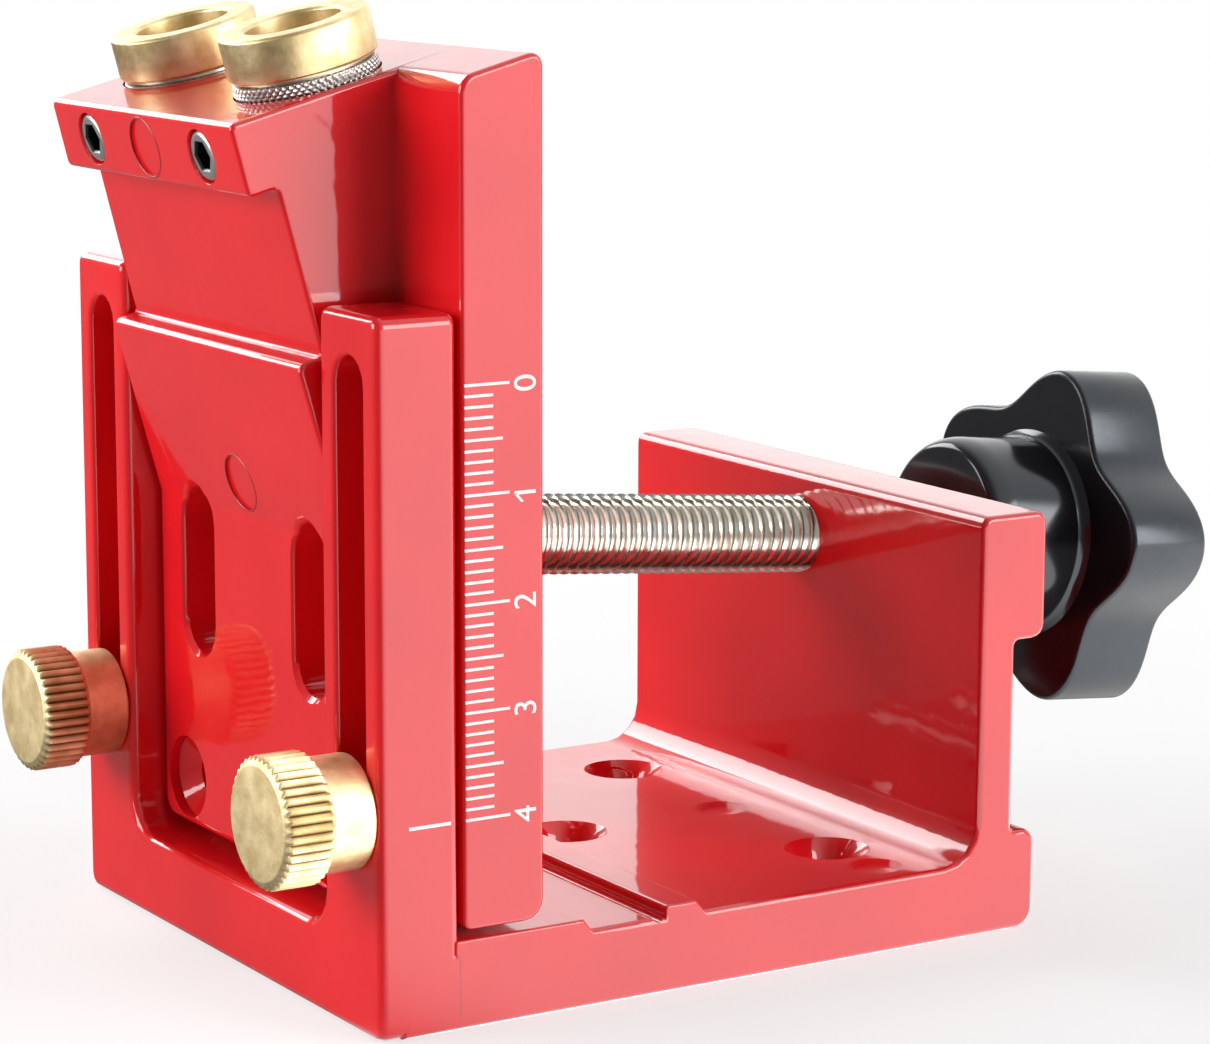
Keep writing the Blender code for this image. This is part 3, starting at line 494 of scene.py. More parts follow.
band = knurl.math("MINIMUM", rise.outputs[0], fall.outputs[0])
radius = knurl.math("SQRT", knurl.math("ADD", knurl.math("POWER", split.outputs["X"], 2.0),
                                       knurl.math("POWER", split.outputs["Y"], 2.0)))
rim = knurl.math("GREATER_THAN", radius, knurl.math("MULTIPLY", knurl.size("Depth"), CORE))
push = knurl.math("MULTIPLY", knurl.math("MULTIPLY", wave, band),
                  knurl.math("MULTIPLY", knurl.size("Depth"), rim))
outward = knurl.add("ShaderNodeVectorMath", {
    0: knurl.add("ShaderNodeCombineXYZ", {"X": split.outputs["X"],
                                          "Y": split.outputs["Y"]}).outputs[0]},
    operation="NORMALIZE")
shift = knurl.add("ShaderNodeVectorMath", {0: outward.outputs[0], "Scale": push},
                  operation="SCALE")
moved = knurl.add("GeometryNodeSetPosition", {
    "Geometry": knurl.source.outputs["Geometry"], "Offset": shift.outputs[0]})
# How deep each point lies in a groove.  The metals darken the grooves by it, partly as oil and dust
# and partly as painted shade.
hollow = knurl.math("MULTIPLY", knurl.math("SUBTRACT", 1.0, wave),
                    knurl.math("MULTIPLY", band, rim))
marked = knurl.add("GeometryNodeStoreNamedAttribute", {
    "Geometry": moved.outputs[0], "Name": "groove",
    "Value": knurl.math("POWER", hollow, 2.0)}, data_type="FLOAT", domain="POINT")
knurl.end(marked.outputs[0])

# %% [markdown]
# ## Thumbscrews
# Each thumbscrew is turned from one brass bar: a knurled head, a plain neck that bears on the
# frame, and a stud that goes through the slot into the carriage.

# %% Thumbscrews
THUMB_R, THUMB_LEN, NECK_R, NECK_LEN = 6.2 * MM, 5.05 * MM, 5.4 * MM, 4.1 * MM
STUD_R, STUD_LEN = 2.45 * MM, 15.5 * MM
THUMB_TEETH, THUMB_KNURL, THUMB_FADE = 40, 0.5 * MM, 0.45 * MM
POINTS_PER_TOOTH, THUMB_RINGS = 8, 8
FACE_BEVEL, FACE_BEVEL_LEN, FACE_EASE, BACK_EASE = 0.35 * MM, 0.3 * MM, 0.12 * MM, 0.42 * MM
# The knurled rings keep this far from the head's face and back.
BAND_FRONT, BAND_BACK, BAND_GAP = 0.5 * MM, 0.4 * MM, 0.05 * MM
KNURL_FRONT, KNURL_BACK = 0.1 * MM, 0.02 * MM
FRAME_FRONT, THUMB_GAP = -17.3 * MM, 0.3 * MM
THUMB_FACE = FRAME_FRONT - THUMB_GAP - THUMB_LEN - NECK_LEN
THUMB_X, THUMB_Z = 26.4 * MM, 20.8 * MM
# The neck is drawn on to the frame, short of touching it.
SEATED = THUMB_GAP - 0.04 * MM
STUD_END = STUD_LEN - SEATED


def band_rings(radius, low, high, count):
    """Rings down a plain band, for the knurl to act on."""
    return [(radius, high + (low - high) * k / count) for k in range(count + 1)]


def thumbscrew(tag):
    base = THUMB_R - THUMB_KNURL
    neck_end = -THUMB_LEN - NECK_LEN - SEATED
    face = eased([(0, 0), (base - FACE_BEVEL, 0), (base, -FACE_BEVEL_LEN), (base, -BAND_FRONT)],
                 FACE_EASE)
    band = band_rings(base, BAND_BACK + BAND_GAP - THUMB_LEN, -BAND_FRONT - BAND_GAP, THUMB_RINGS)
    back = eased([(base, BAND_BACK - THUMB_LEN), (base, -THUMB_LEN), (NECK_R, -THUMB_LEN),
                  (NECK_R, neck_end), (STUD_R, neck_end), (STUD_R, neck_end - STUD_END),
                  (0, neck_end - STUD_END)], BACK_EASE)
    obj = lathe("knurled_thumbscrew_" + tag, face + band + back, THUMB_TEETH * POINTS_PER_TOOTH)
    knurl.grow(obj, sawn, Teeth=float(THUMB_TEETH), Depth=THUMB_KNURL, Fade=THUMB_FADE,
               Low=KNURL_BACK - THUMB_LEN, High=-KNURL_FRONT, Lean=0.0)
    place = standing((SIGNS[tag] * THUMB_X, THUMB_FACE, THUMB_Z), (0, -1, 0))
    put(obj, "thumbscrew_" + tag, ("thumbscrew_" + tag,), place=place)


for tag in SIGNS:
    thumbscrew(tag)

# %% [markdown]
# ## Drill bushes
# A steel sleeve with a knurled head slides in the guide block, and a brass bush is pressed
# into it.  The right-hand one isn't pushed quite home, so its knurl shows.

# %% Sleeves and brass bushes
DRILL_R, SLEEVE_R, SLEEVE_LEN = 4.55 * MM, 6.0 * MM, 23.4 * MM
KNURL_R, KNURL_H, COLLAR_R, COLLAR_H = 6.95 * MM, 1.6 * MM, 7.1 * MM, 4.3 * MM
LINER_R, LINER_LEN = 5.35 * MM, 8.0 * MM
LINER_ROOM, LINER_TAIL = 0.3 * MM, 0.6 * MM
SLEEVE_TEETH, SLEEVE_KNURL, SLEEVE_GROOVE = 64, 0.2 * MM, 0.26 * MM
POINTS_PER_DIAMOND, SLEEVE_RINGS, SLEEVE_FADE = 6, 12, 0.15 * MM
HEAD_BEVEL, RING_MARGIN, SLEEVE_CHAMFER = 0.1 * MM, 0.08 * MM, 0.4 * MM
BUSH_SEAT, BUSH_CHAMFER, BUSH_EASE = 0.02 * MM, 0.25 * MM, 0.07 * MM
BUSH_FOOT, BUSH_FOOT_FLAT = 0.3 * MM, 0.14 * MM


def ring_profile(points, radius):
    """A closed, rounded profile for a bored piece."""
    soft = eased([*points, points[0], points[1]], radius)[1:-1]
    return soft + [soft[0]]


def guide_sleeve(tag, place):
    mouth, deep = LINER_R + LINER_ROOM, KNURL_H - LINER_LEN - LINER_TAIL
    base, top = KNURL_R - SLEEVE_KNURL, KNURL_H - SLEEVE_GROOVE
    sleeve = lathe("knurled_sleeve_" + tag, [
        (mouth, KNURL_H), (SLEEVE_R, KNURL_H), (SLEEVE_R, top), (base - HEAD_BEVEL, top),
        *band_rings(base, RING_MARGIN, top - RING_MARGIN, SLEEVE_RINGS),
        (base - HEAD_BEVEL, 0), (SLEEVE_R, 0), (SLEEVE_R, SLEEVE_CHAMFER - SLEEVE_LEN),
        (SLEEVE_R - SLEEVE_CHAMFER, -SLEEVE_LEN), (DRILL_R, -SLEEVE_LEN), (DRILL_R, deep),
        (mouth, deep), (mouth, KNURL_H)], SLEEVE_TEETH * POINTS_PER_DIAMOND)
    knurl.grow(sleeve, steel, Teeth=float(SLEEVE_TEETH), Depth=SLEEVE_KNURL, Low=0.0,
               High=top, Fade=SLEEVE_FADE, Lean=SLEEVE_TEETH / (2 * math.pi * KNURL_R))
    put(sleeve, "bush_" + tag, ("guide_sleeve_" + tag,), place=place)


def brass_bush(tag, place):
    low, liner_end = KNURL_H + BUSH_SEAT, KNURL_H - LINER_LEN
    top = low + COLLAR_H
    bush = lathe("turned_bush_" + tag, ring_profile([
        (DRILL_R + BUSH_CHAMFER, top), (COLLAR_R - BUSH_CHAMFER, top),
        (COLLAR_R, top - BUSH_CHAMFER), (COLLAR_R, low + BUSH_FOOT),
        (COLLAR_R - BUSH_FOOT, low + BUSH_FOOT_FLAT), (COLLAR_R - BUSH_FOOT, low),
        (LINER_R, low), (LINER_R, liner_end), (DRILL_R, liner_end),
        (DRILL_R, top - BUSH_CHAMFER)], BUSH_EASE))
    put(bush, "bush_" + tag, ("brass_bush_" + tag,), brass, place)


for tag, sign in SIGNS.items():
    seat = DRILL_EXIT + Vector((sign * DRILL_X, 0, 0)) + DRILL_UP * (RAISED[tag] - KNURL_SINK)
    guide_sleeve(tag, standing(seat, DRILL_UP))
    brass_bush(tag, standing(seat, DRILL_UP))

# %% [markdown]
# ## Set screws
# A headless screw with a hexagon socket holds each sleeve.  Its rim is turned, and the socket
# is a six-sided well whose walls are cut with one Boolean.  The walls are black: painted
# shade for the dark inside the well.

# %% Set screws
GRUB_R, GRUB_LEN, GRUB_SIDES = 2.45 * MM, 5.8 * MM, 48
GRUB_CHAMFER, GRUB_TIP, GRUB_EASE = 0.35 * MM, 1.0 * MM, 0.22 * MM
# The socket: half its width across flats, its depth, its flared lip and its coned bottom
HEX_HALF, HEX_DEEP, HEX_LIP, HEX_FLARE, HEX_CONE = (v * MM for v in (1.25, 2.4, 0.2, 0.5, 0.3))


def hex_well():
    corner = HEX_HALF / math.cos(math.pi / 6)
    return lathe("socket", [
        (0, HEX_CONE), (corner + HEX_FLARE, HEX_CONE), (corner, -HEX_LIP), (corner, -HEX_DEEP),
        (0, -HEX_DEEP - HEX_CONE)], 6)


def set_screw(tag):
    obj = lathe("hex_set_screw_" + tag, eased([
        (0, 0), (GRUB_R - GRUB_CHAMFER, 0), (GRUB_R, -GRUB_CHAMFER),
        (GRUB_R, GRUB_TIP - GRUB_LEN), (GRUB_R - GRUB_TIP, -GRUB_LEN), (0, -GRUB_LEN)],
        GRUB_EASE), GRUB_SIDES)
    well = hex_well()
    obj.data.materials.append(steel)
    # The socket's walls take black: painted shade for the dark inside the well.
    well.data.materials.append(black_satin)
    cut = obj.modifiers.new("socket", "BOOLEAN")
    cut.operation, cut.solver, cut.object = "DIFFERENCE", "EXACT", well
    cut.material_mode = "TRANSFER"
    bake(obj)
    bpy.data.objects.remove(well, do_unlink=True)
    face = on_head(HEAD_WALL - GRUB_SUNK) + Vector((SIGNS[tag] * DRILL_X, 0, 0))
    put(obj, "set_screw_" + tag, ("bush_set_screw_" + tag,),
        place=standing(face, HEAD_OUT))


for tag in SIGNS:
    set_screw(tag)

# %% [markdown]
# ## The clamp screw's thread
# A thread is one ridge wound round a core.  The recipe winds a spiral curve, one turn to a
# pitch, and sweeps a small trapezium along it.  The curve's normals are held level, along the
# radius, so the ridge doesn't twist.

# %% The thread recipe
TURN_STEPS = 40
# The trapezium's two parallel sides, as shares of the pitch.  Both stand along the radius,
# and the wide one is nearer the foot.
NARROW_SIDE, WIDE_SIDE = 0.18, 0.88

thread = Recipe("thread", {"Radius": float, "Pitch": float, "Turns": float, "Width": float,
                           "Start": float})
spiral = thread.add("GeometryNodeCurveSpiral", {
    "Resolution": TURN_STEPS, "Rotations": thread.size("Turns"),
    "Start Radius": thread.size("Radius"), "End Radius": thread.size("Radius"),
    "Height": thread.math("MULTIPLY", thread.size("Turns"), thread.size("Pitch"))})
lifted = thread.add("GeometryNodeSetPosition", {
    "Geometry": spiral.outputs[0],
    "Offset": thread.add("ShaderNodeCombineXYZ", {"Z": thread.size("Start")}).outputs[0]})
steady = thread.add("GeometryNodeSetCurveNormal", {"Curve": lifted.outputs[0]}, mode="Z_UP")
section = thread.add("GeometryNodeCurvePrimitiveQuadrilateral", {
    "Bottom Width": thread.math("MULTIPLY", thread.size("Pitch"), NARROW_SIDE),
    "Top Width": thread.math("MULTIPLY", thread.size("Pitch"), WIDE_SIDE),
    "Height": thread.size("Width"), "Offset": 0.0}, mode="TRAPEZOID")
swept = thread.add("GeometryNodeCurveToMesh", {
    "Curve": steady.outputs[0], "Profile Curve": section.outputs[0], "Fill Caps": True})
thread.end(swept.outputs[0])

# %% [markdown]
# ## Clamp screw
# The screw's core is turned, with a thin pivot and a bead at its end for the foot to hang on.
# The thread is a saw tooth in section: its wide side is sunk into the core, and its crest
# reaches a little past the radius of the CAD screw.  The cell prints how far.

# %% Clamp screw
# SCREW_R is the CAD screw's radius, and the core lies THREAD_DEEP below it.
SCREW_R, THREAD_DEEP, THREAD_SINK, PITCH = 3.9 * MM, 0.62 * MM, 0.02 * MM, 1.25 * MM
# Places along the screw, from the point in the rear wall: towards the knob is positive.
SCREW_HEAD, SCREW_TAIL, RUN_OUT = -40.5 * MM, 29.45 * MM, 1.1 * MM
BEAD_FACE, BEAD_END = -46.3 * MM, -44.7 * MM
PIVOT_R, BEAD_R, SCREW_EASE = 2.6 * MM, 3.05 * MM, 0.3 * MM
CORE_SIDES = 64
CLAMP_PLACE = standing(CLAMP_POINT, CLAMP_BACK)


def screw_core():
    core_r = SCREW_R - THREAD_DEEP
    core = lathe("screw_core", eased([
        (0, SCREW_TAIL), (core_r, SCREW_TAIL), (core_r, SCREW_HEAD), (PIVOT_R, SCREW_HEAD),
        (PIVOT_R, BEAD_END), (BEAD_R, BEAD_END), (BEAD_R, BEAD_FACE), (0, BEAD_FACE)],
        SCREW_EASE), CORE_SIDES)
    put(core, "screw", ("clamp_screw",), nickel, CLAMP_PLACE)


def screw_thread():
    ridge = mesh_object("screw_thread", bpy.data.meshes.new("screw_thread"))
    length = SCREW_TAIL - SCREW_HEAD - 2 * RUN_OUT
    thread.grow(ridge, nickel, Radius=SCREW_R - THREAD_DEEP / 2 - THREAD_SINK, Pitch=PITCH,
                Turns=length / PITCH, Width=THREAD_DEEP + 2 * THREAD_SINK,
                Start=SCREW_HEAD + RUN_OUT)
    far = max(math.hypot(v.co.x, v.co.y) for v in ridge.data.vertices)
    print("thread reaches", round(far / MM, 3), "mm from its axis")
    put(ridge, "screw", place=CLAMP_PLACE)


screw_core()
screw_thread()

# %% [markdown]
# ## Pressure foot
# The round foot doesn't turn with the screw: it is held on the screw's bead by a small ring,
# and only its flat face meets the board.

# %% Foot and ring
FOOT_FACE, FOOT_REAR = -49.8 * MM, -40.8 * MM
PAD_R, PAD_T, PAD_HUB_R, PAD_EASE, PAD_SIDES = 8.5 * MM, 3.2 * MM, 5.6 * MM, 0.45 * MM, 72
PAD_FLARE, PAD_RISE = 1.4 * MM, 1.2 * MM
FOOT_BORE, GROOVE_BORE, GROOVE_ROOM = 3.35 * MM, 4.0 * MM, 0.25 * MM
RING_LOW, RING_HIGH = -44.4 * MM, -43.5 * MM
RING_R, RING_HOLE_R, RING_EASE, RING_SIDES = 3.75 * MM, 2.8 * MM, 0.12 * MM, 48


def pressure_foot():
    pad = FOOT_FACE + PAD_T
    groove_low, groove_high = RING_LOW - GROOVE_ROOM, RING_HIGH + GROOVE_ROOM
    foot = lathe("round_foot", eased([
        (0, pad), (FOOT_BORE, pad), (FOOT_BORE, groove_low), (GROOVE_BORE, groove_low),
        (GROOVE_BORE, groove_high), (FOOT_BORE, groove_high), (FOOT_BORE, FOOT_REAR),
        (PAD_HUB_R, FOOT_REAR), (PAD_HUB_R, pad + PAD_RISE), (PAD_HUB_R + PAD_FLARE, pad),
        (PAD_R, pad), (PAD_R, FOOT_FACE), (0, FOOT_FACE)], PAD_EASE), PAD_SIDES)
    put(foot, "foot", ("pressure_foot",), steel, CLAMP_PLACE)


def foot_ring():
    ring = lathe("foot_ring", ring_profile([
        (RING_HOLE_R, RING_HIGH), (RING_R, RING_HIGH), (RING_R, RING_LOW),
        (RING_HOLE_R, RING_LOW)], RING_EASE), RING_SIDES)
    put(ring, "foot", ("foot_retaining_ring",), steel, CLAMP_PLACE)


pressure_foot()
foot_ring()
print("the foot is", round((FOOT_REAR - FOOT_FACE) / MM, 1), "mm long")

# %% [markdown]
# ## Star knob
# The knob's outline follows one rule: a circle with a cosine of five waves on it.  Shrunken
# copies of the outline, stacked like contour lines, give the moulded rounding of its rim.
# The two broad faces are glossy, and the rim between them is satin.

# %% Star knob
STAR_S, STAR_T, STAR_R, STAR_WAVE, LOBES = 26.2 * MM, 9.95 * MM, 16.55 * MM, 2.1 * MM, 5
STAR_TURN, RIM_R, LOBE_STEPS, RIM_STEPS = math.radians(3.8), 0.55 * MM, 36, 5
HUB_R, NOSE_R, NOSE_S, NOSE_LEN, NOSE_STEPS = 10.4 * MM, 9.1 * MM, 14.45 * MM, 2.9 * MM, 6
FILLET_OUT, FILLET_LEN, FILLET_STEPS = 0.9 * MM, 1.1 * MM, 5
KNOB_BORE, BORE_TAIL = SCREW_R + 0.12 * MM, 0.3 * MM
KNOB_CRISP = 35


def quarter(steps):
    """Angles over a quarter of a circle."""
    return [math.pi / 2 * k / steps for k in range(steps + 1)]


def star_outline(inset):
    """Points of the five-lobed outline, moved inwards along its normal by inset."""
    count = LOBES * LOBE_STEPS
    points = []
    for k in range(count):
        t = 2 * math.pi * k / count
        wave = LOBES * (t - STAR_TURN)
        r, slope = STAR_R + STAR_WAVE * math.cos(wave), -STAR_WAVE * LOBES * math.sin(wave)
        out = Vector((math.cos(t), math.sin(t)))
        along = Vector((-math.sin(t), math.cos(t)))
        normal = (out * r - along * slope).normalized()
        points.append(out * r - normal * inset)
    return [Vector((p.x, -p.y)) for p in points]


def star(place):
    bm = bmesh.new()
    levels = [(RIM_R * (1 - math.sin(a)), STAR_S + RIM_R * (1 - math.cos(a)))
              for a in quarter(RIM_STEPS)]
    levels += [(inset, 2 * STAR_S + STAR_T - s) for inset, s in reversed(levels)]
    rings = [[bm.verts.new((*p, s)) for p in star_outline(inset)] for inset, s in levels]
    count = len(rings[0])
    for near, far in zip(rings, rings[1:]):
        for k in range(count):
            face = bm.faces.new((near[k], near[(k + 1) % count], far[(k + 1) % count], far[k]))
            face.material_index = 1
    for ring, s in ((rings[0], STAR_S), (rings[-1], STAR_S + STAR_T)):
        middle = bm.verts.new((0, 0, s))
        for k in range(count):
            bm.faces.new((ring[k], ring[(k + 1) % count], middle))
    bmesh.ops.recalc_face_normals(bm, faces=bm.faces)
    obj = built("knob_star", bm)
    obj.data.materials.append(black_gloss)
    obj.data.materials.append(black_satin)
    put(obj, "screw", ("star_knob",), place=place, angle=KNOB_CRISP)


def hub(place):
    end, deep = STAR_S + STAR_T / 2, SCREW_TAIL + BORE_TAIL
    nose = [(NOSE_R + (HUB_R - NOSE_R) * math.sin(a), NOSE_S + NOSE_LEN * (1 - math.cos(a)))
            for a in quarter(NOSE_STEPS)]
    fillet = [(HUB_R + FILLET_OUT * (1 - math.sin(a)) ** 2, STAR_S - FILLET_LEN * math.sin(a))
              for a in reversed(quarter(FILLET_STEPS))]
    obj = lathe("knob_hub", [(0, deep), (KNOB_BORE, deep), (KNOB_BORE, NOSE_S), *nose, *fillet,
                             (HUB_R + FILLET_OUT, end), (0, end)])
    put(obj, "screw", material=black_gloss, place=place, angle=KNOB_CRISP)


# The knob's own X axis stays level, and its Y axis then points down.
LEVEL = Vector((1, 0, 0))
KNOB_TURN = Matrix((LEVEL, CLAMP_BACK.cross(LEVEL), CLAMP_BACK)).transposed().to_4x4()
star(Matrix.Translation(CLAMP_POINT) @ KNOB_TURN)
hub(Matrix.Translation(CLAMP_POINT) @ KNOB_TURN)
print("the knob is", round(2 * (STAR_R + STAR_WAVE) / MM, 1), "mm across its lobes")

# %% [markdown]
# ## The printed scale
# Forty-one fine lines are printed on the carriage's side, a millimetre apart: every tenth is
# long, every fifth a little shorter.  A recipe places one thin block for each line and
# stretches it by its number.  The plain numbers beside them are text turned into mesh.

# %% The scale recipe
ticks = Recipe("scale_ticks", {"Count": int, "Spacing": float, "Long": float, "Middle": float,
                               "Short": float, "Width": float, "Thickness": float})
number = ticks.add("GeometryNodeInputIndex").outputs[0]
row = ticks.add("GeometryNodeMeshLine", {
    "Count": ticks.size("Count"),
    "Offset": ticks.add("ShaderNodeCombineXYZ", {"Z": ticks.size("Spacing")}).outputs[0]})
tenth = ticks.math("COMPARE", ticks.math("MODULO", number, 10.0), 0.0, 0.1)
fifth = ticks.math("COMPARE", ticks.math("MODULO", number, 5.0), 0.0, 0.1)
some = ticks.math("ADD", ticks.size("Short"), ticks.math(
    "MULTIPLY", fifth, ticks.math("SUBTRACT", ticks.size("Middle"), ticks.size("Short"))))
reach = ticks.math("ADD", some, ticks.math(
    "MULTIPLY", tenth, ticks.math("SUBTRACT", ticks.size("Long"), ticks.size("Middle"))))
block = ticks.add("GeometryNodeMeshCube", {"Size": (1.0, 1.0, 1.0)})
nudged = ticks.add("GeometryNodeTransform", {
    "Geometry": block.outputs[0], "Translation": (0.0, 0.5, 0.0)})
lines = ticks.add("GeometryNodeInstanceOnPoints", {
    "Points": row.outputs[0], "Instance": nudged.outputs[0],
    "Scale": ticks.add("ShaderNodeCombineXYZ", {
        "X": ticks.size("Thickness"), "Y": reach, "Z": ticks.size("Width")}).outputs[0]})
ticks.end(lines.outputs[0])

# %% [markdown]
# ## The scale's lines
# Ink has hardly any thickness, but lines drawn flat on the side would flicker against it.
# They are thin blocks instead, sunk into the paint so that only a hair stands proud.

# %% The scale's lines
# The print stands PRINT_T proud of the side.  A line is TICK_T thick in all.
SIDE, PRINT_T, TICK_T, TICK_W = 32.0 * MM, 0.03 * MM, 0.2 * MM, 0.26 * MM
SCALE_LOW, SCALE_LEN, TICK_Y = 19.86 * MM, 40, -8.35 * MM
LONG, MIDDLE, SHORT = 4.65 * MM, 3.95 * MM, 2.95 * MM


def printed_scale():
    scale = mesh_object("printed_scale", bpy.data.meshes.new("printed_scale"))
    ticks.grow(scale, white_print, Count=SCALE_LEN + 1, Spacing=MM, Long=LONG,
               Middle=MIDDLE, Short=SHORT, Width=TICK_W, Thickness=TICK_T)
    place = Matrix.Translation((SIDE + PRINT_T - TICK_T / 2, TICK_Y, SCALE_LOW))
    put(scale, "carriage", place=place, angle=None)


printed_scale()

# %% [markdown]
# ## Numbers
# Each number is a text object turned into a mesh before it is put in its place.  The built-in
# letters have a bare stroke for a 1, so its small flag is added as a sliver of its own.

# %% Numbers
NUMBER_SIZE, NUMBER_Y, NUMBER_DROP = 3.3 * MM, -1.95 * MM, 0.15 * MM
FLAG, FLAG_STROKE, FLAG_LAP = 0.7 * MM, 0.3 * MM, 0.1 * MM
# Text lies in XY, facing Z.  It is turned to face +X, its top towards the front.
NUMBER_TURN = Matrix(((0, 0, 1), (0, -1, 0), (1, 0, 0))).to_4x4()


def add_flag(mesh):
    """The short slanted stroke at the top of a 1."""
    left = min(v.co.x for v in mesh.vertices)
    top = max(v.co.y for v in mesh.vertices)
    bm = bmesh.new()
    bm.from_mesh(mesh)
    flag = [(left + FLAG_LAP, top), (left - FLAG, top - FLAG),
            (left - FLAG, top - FLAG - FLAG_STROKE), (left + FLAG_LAP, top - FLAG_STROKE)]
    low, high = ([bm.verts.new((x, y, z)) for x, y in flag] for z in (-PRINT_T, PRINT_T))
    bm.faces.new(reversed(low))
    bm.faces.new(high)
    for k in range(4):
        bm.faces.new((low[k], low[(k + 1) % 4], high[(k + 1) % 4], high[k]))
    bmesh.ops.recalc_face_normals(bm, faces=bm.faces)
    bm.to_mesh(mesh)
    bm.free()


def printed_number(value, z):
    data = bpy.data.curves.new("number", "FONT")
    data.body, data.size, data.extrude = str(value), NUMBER_SIZE, PRINT_T
    data.align_x, data.align_y = "CENTER", "CENTER"
    text = bpy.data.objects.new("number", data)
    bpy.context.scene.collection.objects.link(text)
    mesh = evaluated_mesh(text)
    bpy.data.objects.remove(text, do_unlink=True)
    if value == 1:
        add_flag(mesh)
    number = mesh_object("scale_number_" + str(value), mesh)
    place = Matrix.Translation((SIDE, NUMBER_Y, z)) @ NUMBER_TURN
    put(number, "carriage", material=white_print, place=place, angle=None)


for value in range(5):
    printed_number(value, SCALE_LOW + (SCALE_LEN - 10 * value) * MM - NUMBER_DROP)
print("numbers 0 to 4 stand beside", SCALE_LEN, "mm of scale")

# %% [markdown]
# ## Index line and joint line
# A white line on the body's side is read against the scale.  Below it, the joint between
# the front frame and the base shows as a hair of darker paint.

# %% Index line and joint line
INDEX_FRONT, INDEX_REAR, INDEX_HALF = -14.3 * MM, -9.95 * MM, 0.16 * MM
SEAM_FRONT, SEAM_REAR, SEAM_LOW, SEAM_HIGH = -9.04 * MM, -8.93 * MM, 1.2 * MM, 7.2 * MM
SEAM_T = 0.008 * MM


def thin_block(name, body, material, low, high):
    low, high = Vector(low), Vector(high)
    bm = bmesh.new()
    bmesh.ops.create_cube(bm, size=1)
    bmesh.ops.transform(bm, verts=bm.verts, matrix=Matrix.Translation((low + high) / 2)
                        @ Matrix.Diagonal((*(high - low), 1)))
    put(built(name, bm), body, material=material, angle=None)


thin_block("index_line", "body", white_print,
           (SIDE - PRINT_T, INDEX_FRONT, SCALE_LOW - INDEX_HALF),
           (SIDE + PRINT_T, INDEX_REAR, SCALE_LOW + INDEX_HALF))
thin_block("casting_seam", "body", enamel_line,
           (SIDE - PRINT_T, SEAM_FRONT, SEAM_LOW), (SIDE + SEAM_T, SEAM_REAR, SEAM_HIGH))
print("the index line is", round((INDEX_REAR - INDEX_FRONT) / MM, 1), "mm long")

# %% [markdown]
# ## Rims of the ejector marks
# The pins that push a casting out of its die leave shallow round marks.  The two on the guide
# block are already hollows in the CAD solid.  A very fine ring of darker red round each is
# painted shade, standing for the shadow in the mark's rim.

# %% Ejector marks
MARK_R, RIM_T, MARK_SIDES, RIM_SIDES, RIM_CRISP = 2.9 * MM, 0.1 * MM, 64, 8, 60
# The leaning face of the block, from its lower edge up to the ledge, and the mark's share of it
LEAN_FOOT, LEAN, MARK_UP = Vector((0, -13.8, 43.3)) * MM, Vector((0, -5.1, 17.6)) * MM, 0.21


# The ring's darker red is painted shade for the shadow in the mark's rim.
def mark_rim(name, point, facing):
    section = [(MARK_R + RIM_T * math.cos(a), 0.5 * RIM_T * math.sin(a))
               for a in (2 * math.pi * k / RIM_SIDES for k in range(RIM_SIDES))]
    section.reverse()
    ring = lathe(name, section + [section[0]], MARK_SIDES)
    put(ring, "carriage", material=enamel_line, place=standing(point, facing), angle=RIM_CRISP)


mark_rim("rim_on_head", on_head(HEAD_WALL), HEAD_OUT)
mark_rim("rim_on_block", LEAN_FOOT + LEAN * MARK_UP, (0, -LEAN.z, LEAN.y))
print("rims are", round(2 * MARK_R / MM, 1), "mm across")

# %% [markdown]
# ## The studio
# The photograph is bright and shadowless, on white.  The floor and the world look white to
# the camera.  What the gloss mirrors of them is brighter than white at the rear and on the
# right, which gives the pale sheen on the tops and on the side with the scale, and dim at
# the front left, so that the red faces turned that way stay deep.

# %% World
# The glow grows towards a side.  How far a direction points that way is its share, from -1
# to 1.  Each side has the shares between which the glow grows, and its least and most.
SKY_SIDE, SKY_SHARE, SKY_GLOW = Vector((0.20, 0.98, 0.0)), (-0.45, 0.30), (0.3, 1.6)
FLOOR_SIDE, FLOOR_SHARE, FLOOR_GLOW = Vector((0.84, 0.54, 0.0)), (0.3, 0.92), (0.24, 3.8)
AMBIENT = 0.13


def mirrored_glow(tree, direction, side, share, glow):
    """How bright the studio looks to the gloss: dim on one side and bright on the other."""
    toward = add_node(tree, "ShaderNodeVectorMath", {0: direction, 1: side},
                      operation="DOT_PRODUCT")
    return add_node(tree, "ShaderNodeMapRange", {
        "Value": toward.outputs["Value"], "From Min": share[0], "From Max": share[1],
        "To Min": glow[0], "To Max": glow[1]}, interpolation_type="SMOOTHSTEP").outputs[0]


